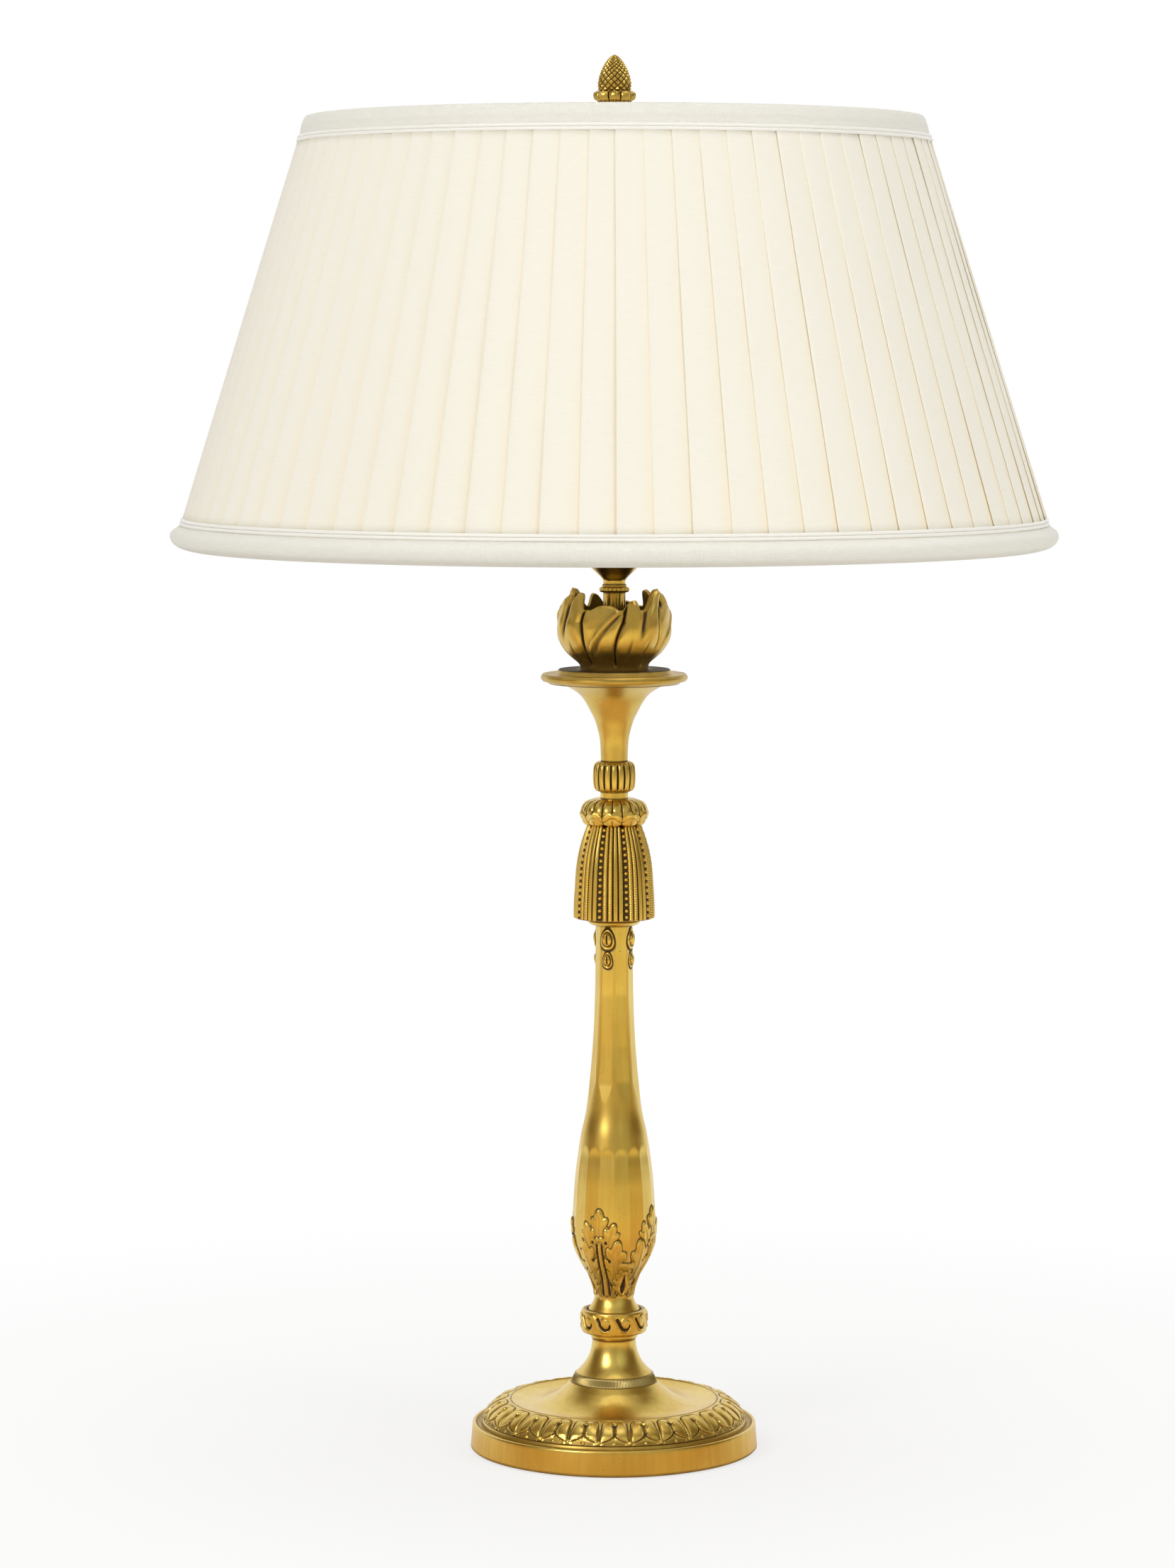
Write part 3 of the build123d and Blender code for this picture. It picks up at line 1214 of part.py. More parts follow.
def pieces():
    lower_ring = SHADE_SLANT - RING_FROM_EDGE
    return {
        "felt_pad": felt_pad,
        "cover_plate": cover_plate,
        "base_weight": base_weight,
        "rod_nut": rod_nut,
        "lock_washer": lock_washer,
        "cord_bushing": cord_bushing,
        "foot_casting": foot_casting,
        "threaded_rod": threaded_rod,
        "knurled_ring": knurled_ring,
        "foot_neck": foot_neck,
        "neck_ring": neck_ring,
        "wave_collar": wave_collar,
        "baluster": baluster,
        "tassel_ring": tassel_ring,
        "tassel": tassel,
        "tassel_cap": tassel_cap,
        "stem_spacer": stem_spacer,
        "reeded_collar": reeded_collar,
        "trumpet_stem": trumpet_stem,
        "drip_plate": drip_plate,
        "flame_cup": flame_cup,
        "riser_tube": riser_tube,
        "beaded_ring": beaded_ring,
        "thin_ring": thin_ring,
        "holder_cup": holder_cup,
        "harp_saddle": harp_saddle,
        "harp_bow": harp_bow,
        "ferrule_left": lambda: ferrule(-1),
        "ferrule_right": lambda: ferrule(1),
        "harp_top": harp_top,
        "holder_cap": holder_cap,
        "holder_shell": holder_shell,
        "insulating_sleeve": insulating_sleeve,
        "holder_body": holder_body,
        "screw_shell": screw_shell,
        "contact_tongue": contact_tongue,
        "switch_shaft": switch_shaft,
        "switch_knob": switch_knob,
        "bulb_contact": bulb_contact,
        "bulb_cap": bulb_cap,
        "bulb_glass": bulb_glass,
        "shade_cover": shade_cover,
        "shade_lining": shade_lining,
        "shade_top_ring": lambda: frame_ring(RING_FROM_EDGE),
        "shade_bottom_ring": lambda: frame_ring(lower_ring),
        "ribbon_top": ribbon_top,
        "ribbon_bottom": lambda: binding(SHADE_SLANT, -1, BINDING_BOTTOM_ROLL),
        "gimp_top": lambda: gimp(BINDING_DEPTH),
        "gimp_bottom": lambda: gimp(SHADE_SLANT - BINDING_DEPTH - GIMP_WIDTH),
        "spider_hub": spider_hub,
        "spider_arms": spider_arms,
        "finial": finial,
        "finial_bush": finial_bush,
    }


def main():
    os.makedirs("parts", exist_ok=True)
    for name, make in pieces().items():
        export_step(make(), f"parts/{name}.step")


main()
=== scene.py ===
"""Looks of a gilt-brass candlestick table lamp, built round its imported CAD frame.

Every class below is one sub-assembly of the lamp. It holds its sizes as fields, works its surfaces
out on numpy grids, and dresses them. Sizes are in millimetres until they reach a mesh, which is in
metres. +Z is up the stem, -Y is the front, and azimuth is counted from the front to the right.
"""

import json
import logging
import math
from dataclasses import dataclass, field
from enum import Enum
from typing import Callable, Optional

import bpy
import numpy as np
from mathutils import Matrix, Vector


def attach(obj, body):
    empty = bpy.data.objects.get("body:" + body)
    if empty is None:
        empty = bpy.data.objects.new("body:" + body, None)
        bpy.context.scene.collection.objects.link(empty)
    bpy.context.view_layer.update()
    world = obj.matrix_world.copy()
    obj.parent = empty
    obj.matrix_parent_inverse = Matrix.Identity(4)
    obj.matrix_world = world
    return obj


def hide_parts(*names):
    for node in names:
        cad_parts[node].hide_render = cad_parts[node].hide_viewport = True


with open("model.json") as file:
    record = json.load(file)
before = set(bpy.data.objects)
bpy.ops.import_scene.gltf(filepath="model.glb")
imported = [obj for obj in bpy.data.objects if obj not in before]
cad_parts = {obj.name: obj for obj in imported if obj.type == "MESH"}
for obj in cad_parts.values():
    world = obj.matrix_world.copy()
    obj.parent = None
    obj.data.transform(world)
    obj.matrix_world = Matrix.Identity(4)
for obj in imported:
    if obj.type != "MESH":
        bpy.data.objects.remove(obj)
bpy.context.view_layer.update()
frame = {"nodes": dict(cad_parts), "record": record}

MM = 0.001
FRONT = -math.pi / 2
STEM_BORE = 5.4
Grid = np.ndarray
log = logging.getLogger("lamp")


# ---------------------------------------------------------------- curves and grids


def through(points: list, count: int) -> Grid:
    """A smooth line through a few points: a cubic through each four neighbours in turn.

    Args:
        points: pairs, in millimetres.
        count: how many points to sample.

    Returns:
        An array of `count` pairs.
    """
    knots = np.asarray(points, float)
    knots = np.vstack([2 * knots[0] - knots[1], knots, 2 * knots[-1] - knots[-2]])
    spans = len(knots) - 3
    at = np.linspace(0, spans, count)
    i = np.minimum(at.astype(int), spans - 1)
    t = (at - i)[:, None]
    before, start, end, after = (knots[i + k] for k in range(4))
    rise, fall = (end - before) / 2, (after - start) / 2
    return (
        (2 * t**3 - 3 * t**2 + 1) * start
        + (t**3 - 2 * t**2 + t) * rise
        + (3 * t**2 - 2 * t**3) * end
        + (t**3 - t**2) * fall
    )


def line(start: tuple, end: tuple, count: int = 2) -> Grid:
    """Evenly spaced points on a straight line."""
    return np.linspace(start, end, count)


def bow(start: tuple, end: tuple, swell: float, count: int = 12) -> Grid:
    """Points on a shallow arc that swells to the right of its run: a parabola over the chord."""
    chord = np.subtract(end, start)
    side = np.array([chord[1], -chord[0]]) / np.hypot(*chord)
    t = np.linspace(0, 1, count)[:, None]
    return np.asarray(start) + t * chord + 4 * swell * t * (1 - t) * side


def joined(*runs: Grid) -> Grid:
    """Runs of points end to end, without repeated points."""
    points = np.vstack(runs)
    keep = np.r_[True, np.hypot(*np.diff(points, axis=0).T) > 1e-4]
    return points[keep]


def drawn(start: tuple, *steps: tuple) -> Grid:
    """An outline drawn from a start by steps.

    Args:
        start: where it begins.
        steps: each run's end, then how many points it takes and how far it swells, if it isn't straight.

    Returns:
        The runs end to end.
    """
    runs, here = [], start
    for end, *how in steps:
        runs.append(bow(here, end, how[1], how[0]) if len(how) > 1 else line(here, end, *how))
        here = end
    return joined(*runs)


def resampled(points: Grid, step: float) -> Grid:
    """A line's own corners, with points added so that none are further apart than `step`."""
    gaps = np.hypot(*np.diff(points, axis=0).T)
    counts = np.maximum(1, np.ceil(gaps / step)).astype(int)
    parts = [np.linspace(a, b, n, endpoint=False) for a, b, n in zip(points[:-1], points[1:], counts)]
    return np.vstack([*parts, points[-1:]])


def spaced(points: Grid, zones: list, coarse: float) -> Grid:
    """A line resampled by height: fine steps inside each zone of (low, high, step), coarse ones elsewhere."""
    fine = resampled(points, 0.05)
    along = run_length(fine)
    step = np.full(len(fine), coarse)
    for low, high, size in zones:
        step[(fine[:, 1] > low) & (fine[:, 1] < high)] = size
    count = np.r_[0, np.cumsum(np.diff(along) / step[1:])]
    marks = np.linspace(0, count[-1], max(int(round(count[-1])), 2) + 1)
    place = np.interp(marks, count, along)
    return np.stack([np.interp(place, along, fine[:, k]) for k in (0, 1)], axis=1)


def run_length(outline: Grid) -> Grid:
    """Distance along an outline at each of its points."""
    return np.r_[0, np.cumsum(np.hypot(*np.diff(outline, axis=0).T))]


def smooth_step(low: float, high: float, value: Grid) -> Grid:
    """0 below low, 1 above high, and a smooth cubic between."""
    t = np.clip((value - low) / (high - low), 0, 1)
    return t * t * (3 - 2 * t)


def half_round(share: Grid) -> Grid:
    """Half a circle's rise: 1 in the middle, 0 from a share of 1 outwards."""
    return np.sqrt(np.clip(1 - share**2, 0, 1))


def bell(share: Grid) -> Grid:
    """A bell curve: 1 in the middle, 0.37 at a share of 1."""
    return np.exp(-(share**2))


def blurred(field_in: Grid, rows: int, columns: int) -> Grid:
    """A box mean over a grid that wraps round its columns."""
    total = sum(np.roll(field_in, k, axis=1) for k in range(-columns, columns + 1)) / (2 * columns + 1)
    padded = np.pad(total, ((rows, rows), (0, 0)), mode="edge")
    height = len(field_in)
    return sum(padded[k : k + height] for k in range(2 * rows + 1)) / (2 * rows + 1)


def hollowness(relief: Grid, reach: int, scale: float) -> Grid:
    """How far each point lies below its surroundings, from 0 to 1, which is where patina stays."""
    near = blurred(relief, reach, reach) - relief
    wide = blurred(relief, 3 * reach, 3 * reach) - relief
    return np.clip((near + 0.6 * wide) / scale, 0, 1)


def grid_faces(rows: int, columns: int, round_rows: bool) -> Grid:
    """Quads of a grid that closes round its columns, with its points numbered row by row."""
    i, j = np.meshgrid(np.arange(rows if round_rows else rows - 1), np.arange(columns), indexing="ij")
    up, right = (i + 1) % rows, (j + 1) % columns
    corners = [i * columns + j, i * columns + right, up * columns + right, up * columns + j]
    return np.stack(corners, axis=-1).reshape(-1, 4)


@dataclass
class Skin:
    """One mesh piece made from point grids."""

    name: str
    sharp: float = 38.0
    points: list = field(default_factory=list)
    faces: list = field(default_factory=list)
    values: list = field(default_factory=list)
    corners: list = field(default_factory=list)
    count: int = 0

    def add(self, grid: Grid, wrap_rows: bool = False, patina_and_painted_light: Optional[Grid] = None,
            repeats: tuple = (1.0, 1.0), across: Optional[Grid] = None) -> None:
        """Adds a grid of points in millimetres, with its mask of patina and painted light, and its UV scale.

        Args:
            grid: rows x columns x 3.
            wrap_rows: whether the last row joins the first.
            patina_and_painted_light: the patina at each point, from 0 to 1, with painted shade on some pieces
                and, on the pleated cloth, painted shade and a painted glow.
            repeats: what the UV map counts across the columns and up the rows.
            across: where each column and the closing one stand on the UV map, if not evenly spaced.
        """
        rows, columns, _ = grid.shape
        faces = grid_faces(rows, columns, wrap_rows)
        row, column = faces[:, 0] // columns, faces[:, 0] % columns
        high = rows if wrap_rows else rows - 1
        marks = np.linspace(0, repeats[0], columns + 1) if across is None else across
        u = marks[np.stack([column, column + 1, column + 1, column], axis=1)]
        v = np.stack([row, row, row + 1, row + 1], axis=1) / high * repeats[1]
        self.points.append(grid.reshape(-1, 3))
        self.faces.append(faces + self.count)
        self.corners.append(np.stack([u, v], axis=-1).reshape(-1, 2))
        self.values.append(np.zeros(rows * columns) if patina_and_painted_light is None else patina_and_painted_light.reshape(-1))
        self.count += rows * columns

    def cap(self, ring: Grid, tip: tuple, upward: bool, patina_and_painted_light: float = 0.0) -> None:
        """Closes a ring of point numbers with a fan to one point."""
        following = np.roll(ring, -1)
        first, second = (ring, following) if upward else (following, ring)
        middle, none = np.full(len(ring), self.count), np.full(len(ring), -1)
        self.points.append(np.asarray([tip], float))
        self.values.append(np.array([patina_and_painted_light]))
        self.count += 1
        self.faces.append(np.stack([first, second, middle, none], axis=1))
        self.corners.append(np.zeros((3 * len(ring), 2)))

    def build(self, body: str, material: bpy.types.Material, slot: str, nodes: tuple) -> bpy.types.Object:
        """Makes the mesh object, hangs it on its body, and hides the CAD nodes that it stands for.

        Args:
            body: the CAD body that carries the piece.
            material: its finish.
            slot: the record's slot that the finish belongs to; not used.
            nodes: the CAD nodes that it replaces.

        Returns:
            The finished object, at the origin.
        """
        points = np.vstack(self.points) * MM
        faces = np.vstack(self.faces)
        is_quad = faces[:, 3] >= 0
        loops = faces[faces >= 0]
        starts = np.r_[0, np.cumsum(np.where(is_quad, 4, 3))[:-1]]
        mesh = bpy.data.meshes.new(self.name)
        mesh.vertices.add(len(points))
        mesh.vertices.foreach_set("co", points.ravel())
        mesh.loops.add(len(loops))
        mesh.loops.foreach_set("vertex_index", loops.astype(np.int32))
        mesh.polygons.add(len(faces))
        mesh.polygons.foreach_set("loop_start", starts.astype(np.int32))
        mesh.update(calc_edges=True)
        mesh.uv_layers.new(name="UVMap").uv.foreach_set("vector", np.vstack(self.corners).ravel())
        # Per point, a mask that the materials read: patina in the relief's low places, painted shade on some
        # pieces, and a painted glow and shade in the cloth's crevices.
        mesh.attributes.new("patina_and_painted_light", "FLOAT", "POINT").data.foreach_set("value", np.concatenate(self.values))
        mesh.shade_smooth()
        mesh.set_sharp_from_angle(angle=math.radians(self.sharp))
        mesh.validate()
        piece = bpy.data.objects.new(self.name, mesh)
        bpy.context.scene.collection.objects.link(piece)
        piece.data.materials.append(material)
        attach(piece, body)
        if nodes:
            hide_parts(*nodes)
        log.info("%s: %d faces on %s", self.name, len(faces), body)
        return piece


def round_angles(columns: int) -> Grid:
    """A row of the azimuths of evenly spaced columns, counted from the front to the right."""
    return np.linspace(0, 2 * math.pi, columns, endpoint=False)[None, :]


def turned_points(radius: Grid, height: Grid, azimuth: Grid) -> Grid:
    """Points at a radius and a height in each azimuth from the front."""
    angle = FRONT + azimuth
    radius, height, angle = np.broadcast_arrays(radius, height, angle)
    return np.stack([radius * np.cos(angle), radius * np.sin(angle), height], axis=-1)


def outward(outline: Grid) -> Grid:
    """Unit normals of an outline that runs up with the outside on its right."""
    run = np.gradient(outline, axis=0)
    run /= np.maximum(np.hypot(run[:, 0], run[:, 1]), 1e-9)[:, None]
    return np.stack([run[:, 1], -run[:, 0]], axis=1)


def turned(name: str, outline: Grid, bore: float, columns: int = 192, relief: Optional[Grid] = None,
           patina_and_painted_light: Optional[Grid] = None, sharp: float = 38.0) -> Skin:
    """A closed turned piece: its outline carried round the stem, raised by a relief, and closed down a bore.

    Args:
        name: the piece's name.
        outline: pairs of radius and height up the outside.
        bore: radius of the hole, or 0 for a piece that ends in a tip on the axis.
        columns: points round the stem.
        relief: how far each point stands out, outline points x columns.
        patina_and_painted_light: patina and painted shade at each point, of the same shape.
        sharp: edges steeper than this many degrees stay crisp.

    Returns:
        The skin, ready to build.
    """
    raised = np.zeros((len(outline), columns)) if relief is None else relief
    patina_and_shade = np.zeros_like(raised) if patina_and_painted_light is None else patina_and_painted_light
    normal = outward(outline)
    radius = outline[:, :1] + raised * normal[:, :1]
    height = outline[:, 1:] + raised * normal[:, 1:]
    skin = Skin(name, sharp)
    azimuth = round_angles(columns)
    if bore > 0:
        inner = resampled(line((bore, outline[-1, 1]), (bore, outline[0, 1])), 8.0)
        blank = np.zeros((len(inner), columns))
        radius = np.vstack([radius, blank + inner[:, :1]])
        height = np.vstack([height, blank + inner[:, 1:]])
        patina_and_shade = np.vstack([patina_and_shade, blank])
        skin.add(turned_points(radius, height, azimuth), wrap_rows=True, patina_and_painted_light=patina_and_shade)
        return skin
    skin.add(turned_points(radius[:-1], height[:-1], azimuth), patina_and_painted_light=patina_and_shade[:-1])
    last = np.arange((len(outline) - 2) * columns, (len(outline) - 1) * columns)
    skin.cap(last, (0.0, 0.0, float(outline[-1, 1])), upward=True, patina_and_painted_light=float(patina_and_shade[-1].mean()))
    foot = np.arange(columns)
    skin.cap(foot, (0.0, 0.0, float(outline[0, 1])), upward=False)
    return skin


# ---------------------------------------------------------------- finishes


class Slot(Enum):
    """The record's material slots."""

    GILT = "gilt_brass"
    KNURLED = "knurled_brass"
    POLISHED = "polished_tube"
    ZINC = "zinc_steel"
    IRON = "grey_iron"
    FELT = "felt"
    BUSH = "bush_plastic"
    HARP = "plated_harp"
    HOLDER = "holder_brass"
    CARD = "sleeve_card"
    MOULDING = "holder_moulding"
    KNOB = "knob_plastic"
    CAP = "cap_aluminium"
    SOLDER = "contact_solder"
    GLASS = "opal_glass"
    CLOTH = "pleated_cloth"
    LINING = "lining_sheet"
    RIBBON = "grosgrain"
    BRAID = "gimp_braid"
    WIRE = "enamelled_wire"


def written(red: int, green: int, blue: int) -> tuple:
    """A screen colour, each part from 0 to 255, as the linear colour that a shader takes."""
    parts = np.array([red, green, blue]) / 255
    linear = np.where(parts <= 0.04045, parts / 12.92, ((parts + 0.055) / 1.055) ** 2.4)
    return (*(float(part) for part in linear), 1.0)


@dataclass
class Graph:
    """A shader tree, with short ways to place nodes and join them."""

    tree: bpy.types.NodeTree

    def feed(self, socket: bpy.types.NodeSocket, value: object) -> None:
        """Joins a socket to another, or sets it."""
        if isinstance(value, bpy.types.NodeSocket):
            self.tree.links.new(value, socket)
        else:
            socket.default_value = value

    def place(self, kind: str, inputs: Optional[dict] = None, **settings: object) -> bpy.types.Node:
        """Places a node.

        Args:
            kind: the node's type, without its ShaderNode prefix.
            inputs: values or sockets for its inputs, by name or number.
            settings: the node's own properties.

        Returns:
            The node.
        """
        node = self.tree.nodes.new("ShaderNode" + kind)
        for name, value in settings.items():
            setattr(node, name, value)
        for key, value in (inputs or {}).items():
            self.feed(node.inputs[key], value)
        return node

    def maths(self, operation: str, *values: object) -> bpy.types.NodeSocket:
        """The result of one Math node, kept as it is."""
        return self.place("Math", dict(enumerate(values)), operation=operation).outputs[0]

    def blend(self, share: object, first: object, second: object) -> bpy.types.NodeSocket:
        """A colour between two, by a share from 0 to 1."""
        return self.place("Mix", {0: share, 6: first, 7: second}, data_type="RGBA").outputs[2]

    def noise(self, vector: object, scale: float, detail: float = 2.0) -> bpy.types.NodeSocket:
        """Soft noise from 0 to 1."""
        return self.place("TexNoise", {"Vector": vector, "Scale": scale, "Detail": detail}).outputs[0]

    def span(self, value: object, low: float, high: float, first: float = 0.0,
             last: float = 1.0) -> bpy.types.NodeSocket:
        """A value carried from one range to another, and held there."""
        limits = {0: value, 1: low, 2: high, 3: first, 4: last}
        return self.place("MapRange", limits).outputs[0]


    def group(self, maker: Callable, values: dict) -> bpy.types.bpy_prop_collection:
        """The outputs of a shared node group that is fed these values."""
        return self.place("Group", values, node_tree=shared(maker)).outputs

    def dress(self, shader: bpy.types.Node, values: dict, height: object, distance: float,
              strength: float) -> None:
        """Feeds a shader its values, and bumps it by a height that spans a distance in metres."""
        bump = self.place("Bump", {"Height": height, "Distance": distance, "Strength": strength})
        for name, value in {**values, "Normal": bump.outputs[0]}.items():
            self.feed(shader.inputs[name], value)


def new_group(name: str, inputs: dict, outputs: dict) -> tuple:
    """An empty node group with named sockets.

    Args:
        name: the group's name.
        inputs: socket kinds by name.
        outputs: socket kinds by name.

    Returns:
        Its graph, its inputs by name, and the node that takes its outputs.
    """
    tree = bpy.data.node_groups.new(name, "ShaderNodeTree")
    for way, sockets in (("INPUT", inputs), ("OUTPUT", outputs)):
        for socket, kind in sockets.items():
            tree.interface.new_socket(name=socket, in_out=way, socket_type="NodeSocket" + kind)
    return Graph(tree), tree.nodes.new("NodeGroupInput").outputs, tree.nodes.new("NodeGroupOutput")


def wear_group() -> bpy.types.NodeTree:
    """Worn gilding: soft upright brush streaks, sparse pits, and a dark tone where the mask is high, which is
    patina in the relief's low places and painted shade where a piece's mask carries it.
    """
    sockets = {"Vector": "Vector", "PatinaAndShade": "Float", "Bright": "Color", "Warm": "Color", "Dark": "Color",
               "Patina": "Float", "Gloss": "Float"}
    results = {"Color": "Color", "Roughness": "Float", "Metal": "Float", "Height": "Float"}
    graph, given, result = new_group("gilding_wear", sockets, results)
    upright = {0: given["Vector"], 1: (1.0, 1.0, 0.06)}
    streaks = graph.noise(graph.place("VectorMath", upright, operation="MULTIPLY").outputs[0], 330.0, 2.0)
    clouds = graph.noise(given["Vector"], 26.0, 2.0)
    smears = graph.noise(given["Vector"], 120.0, 3.0)
    pits = graph.noise(given["Vector"], 620.0, 1.0)
    cloudy = graph.span(clouds, 0.35, 0.65, 0.0, 0.45)
    streaky = graph.span(streaks, 0.35, 0.65, 0.0, 0.35)
    mixed = graph.maths("ADD", cloudy, streaky)
    # The mask pulls the colour to the dark tone: patina, and painted shade on the pieces whose mask carries
    # it. The Patina input scales both.
    held = graph.maths("MULTIPLY", given["PatinaAndShade"], given["Patina"])
    ragged = graph.maths("MULTIPLY", held, graph.span(smears, 0.3, 0.7, 0.8, 1.15))
    patina_and_shade_mask = graph.span(ragged, 0.08, 0.72)
    pitted = graph.span(pits, 0.74, 0.80, 0.0, 0.45)
    mask = graph.maths("MAXIMUM", patina_and_shade_mask, pitted)
    shaded = graph.maths("MAXIMUM", mixed, graph.span(ragged, 0.0, 0.35))
    tone = graph.blend(shaded, given["Bright"], given["Warm"])
    graph.feed(result.inputs["Color"], graph.blend(mask, tone, given["Dark"]))
    smeared = graph.maths("ADD", given["Gloss"], graph.span(clouds, 0.3, 0.7, -0.03, 0.05))
    graph.feed(result.inputs["Roughness"], graph.maths("ADD", smeared, graph.maths("MULTIPLY", mask, 0.25)))
    graph.feed(result.inputs["Metal"], graph.span(mask, 0.0, 1.0, 1.0, 0.45))
    graph.feed(result.inputs["Height"], graph.maths("ADD", streaks, graph.maths("MULTIPLY", smears, 1.5)))
    return graph.tree


def mottle_group() -> bpy.types.NodeTree:
    """Two close tones in soft clouds with a fine grain, for plain finishes."""
    sockets = {"Vector": "Vector", "First": "Color", "Second": "Color", "Clouds": "Float", "Grain": "Float"}
    results = {"Color": "Color", "Share": "Float", "Height": "Float"}
    graph, given, result = new_group("mottle", sockets, results)
    clouds = graph.place("TexNoise", {"Vector": given["Vector"], "Scale": given["Clouds"], "Detail": 3.0})
    grain = graph.place("TexNoise", {"Vector": given["Vector"], "Scale": given["Grain"], "Detail": 2.0})
    share = graph.span(clouds.outputs[0], 0.35, 0.65)
    both = graph.maths("MULTIPLY_ADD", grain.outputs[0], 0.5, graph.maths("MULTIPLY", share, 0.6))
    graph.feed(result.inputs["Color"], graph.blend(both, given["First"], given["Second"]))
    graph.feed(result.inputs["Share"], share)
    graph.feed(result.inputs["Height"], grain.outputs[0])
    return graph.tree


def weave_group() -> bpy.types.NodeTree:
    """Crossed threads on a UV map in millimetres: the higher of two sines, with slubs."""
    sockets = {"Vector": "Vector", "Across": "Float", "Along": "Float"}
    graph, given, result = new_group("weave", sockets, {"Height": "Float", "Slub": "Float"})
    parts = graph.place("SeparateXYZ", {0: given["Vector"]}).outputs
    waves = []
    for part, count in ((parts[0], given["Across"]), (parts[1], given["Along"])):
        turns = graph.maths("MULTIPLY", part, count)
        waves.append(graph.maths("SINE", graph.maths("MULTIPLY", turns, 2 * math.pi)))
    stretched = graph.place("VectorMath", {0: given["Vector"], 1: (0.12, 1.6, 1.0)}, operation="MULTIPLY")
    slub = graph.noise(stretched.outputs[0], 1.1, 3.0)
    graph.feed(result.inputs["Height"], graph.maths("MAXIMUM", *waves))
    graph.feed(result.inputs["Slub"], slub)
    return graph.tree


GROUPS: dict = {}


def shared(maker: Callable) -> bpy.types.NodeTree:
    """A node group, made the first time that a finish asks for it."""
    if maker not in GROUPS:
        GROUPS[maker] = maker()
    return GROUPS[maker]


def new_material(name: str) -> tuple:
    """A material with its graph and its Principled shader."""
    material = bpy.data.materials.new(name)
    material.use_nodes = True
    return material, Graph(material.node_tree), material.node_tree.nodes["Principled BSDF"]


@dataclass(frozen=True)
class Metal:
    """Gilded or plated metal with patina in its low places and painted shade where its mask carries it; its
    patina field scales both. Its tones are screen colours.
    """

    name: str
    bright: tuple
    warm: tuple
    dark: tuple
    gloss: float = 0.28
    patina: float = 1.0
    bump: float = 0.000004

    def make(self) -> bpy.types.Material:
        """Builds the material."""
        material, graph, shader = new_material(self.name)
        wear = graph.group(wear_group, {
            "Vector": graph.place("TexCoord").outputs["Object"],
            "PatinaAndShade": graph.place("Attribute", attribute_name="patina_and_painted_light").outputs["Fac"],
            "Bright": written(*self.bright), "Warm": written(*self.warm), "Dark": written(*self.dark),
            "Patina": self.patina, "Gloss": self.gloss})
        values = {"Base Color": wear["Color"], "Roughness": wear["Roughness"], "Metallic": wear["Metal"]}
        graph.dress(shader, values, wear["Height"], self.bump, 0.5)
        return material


@dataclass(frozen=True)
class Plain:
    """A plastic, enamelled, felted or cast finish in two close screen colours."""

    name: str
    first: tuple
    second: tuple
    roughness: float
    metallic: float = 0.0
    clouds: float = 60.0
    grain: float = 1400.0
    bump: float = 0.00003
    sheen: float = 0.0
    subsurface: float = 0.0
    coat: float = 0.0

    def make(self) -> bpy.types.Material:
        """Builds the material."""
        material, graph, shader = new_material(self.name)
        mottle = graph.group(mottle_group, {
            "Vector": graph.place("TexCoord").outputs["Object"], "First": written(*self.first),
            "Second": written(*self.second), "Clouds": self.clouds, "Grain": self.grain})
        values = {
            "Base Color": mottle["Color"],
            "Roughness": graph.span(mottle["Share"], 0.0, 1.0, self.roughness - 0.04, self.roughness + 0.05),
            "Metallic": self.metallic, "Sheen Weight": self.sheen, "Subsurface Weight": self.subsurface,
            "Coat Weight": self.coat}
        graph.dress(shader, values, mottle["Height"], self.bump, 0.6)
        if self.subsurface:
            shader.inputs["Subsurface Scale"].default_value = 0.004
        return material


@dataclass(frozen=True)
class Woven:
    """Cloth, ribbon or braid on a UV map in millimetres. Where its mask is high the colour moves to the fold
    tone, which is painted light: a warm glow with painted shade in the cloth's crevices, and painted shade on
    ribbon and braid. The cloth also glows a little in that tone, a painted glow standing in for light through
    it.
    """

    name: str
    tone: tuple
    shade: tuple
    fold: tuple
    across: float
    along: float
    roughness: float
    bump: float
    sheen: float
    painted_translucency: float = 0.0

    def make(self) -> bpy.types.Material:
        """Builds the material."""
        material, graph, shader = new_material(self.name)
        weave = graph.group(weave_group, {"Vector": graph.place("UVMap").outputs[0], "Across": self.across,
                                          "Along": self.along})
        threads = graph.span(weave["Height"], -0.4, 1.0)
        slubs = graph.span(weave["Slub"], 0.3, 0.7)
        share = graph.maths("MULTIPLY_ADD", slubs, 0.45, graph.maths("MULTIPLY", threads, 0.35))
        cloth = graph.blend(share, written(*self.shade), written(*self.tone))
        crease = graph.place("Attribute", attribute_name="patina_and_painted_light").outputs["Fac"]
        # The fold tone is painted light: a warm glow and shade in the cloth's crevices, shade on ribbon and
        # braid; the emission is a painted glow.
        fold = written(*self.fold)
        values = {
            "Base Color": graph.blend(crease, cloth, fold),
            "Roughness": graph.span(slubs, 0.0, 1.0, self.roughness - 0.05, self.roughness + 0.05),
            "Sheen Weight": self.sheen, "Sheen Roughness": 0.4, "Emission Color": fold,
            "Emission Strength": self.painted_translucency}
        graph.dress(shader, values, graph.maths("ADD", threads, slubs), self.bump, 0.7)
        return material


GILT_BRIGHT = (231, 204, 114)
GILT_WARM = (214, 176, 82)
GILT_DARK = (68, 52, 28)

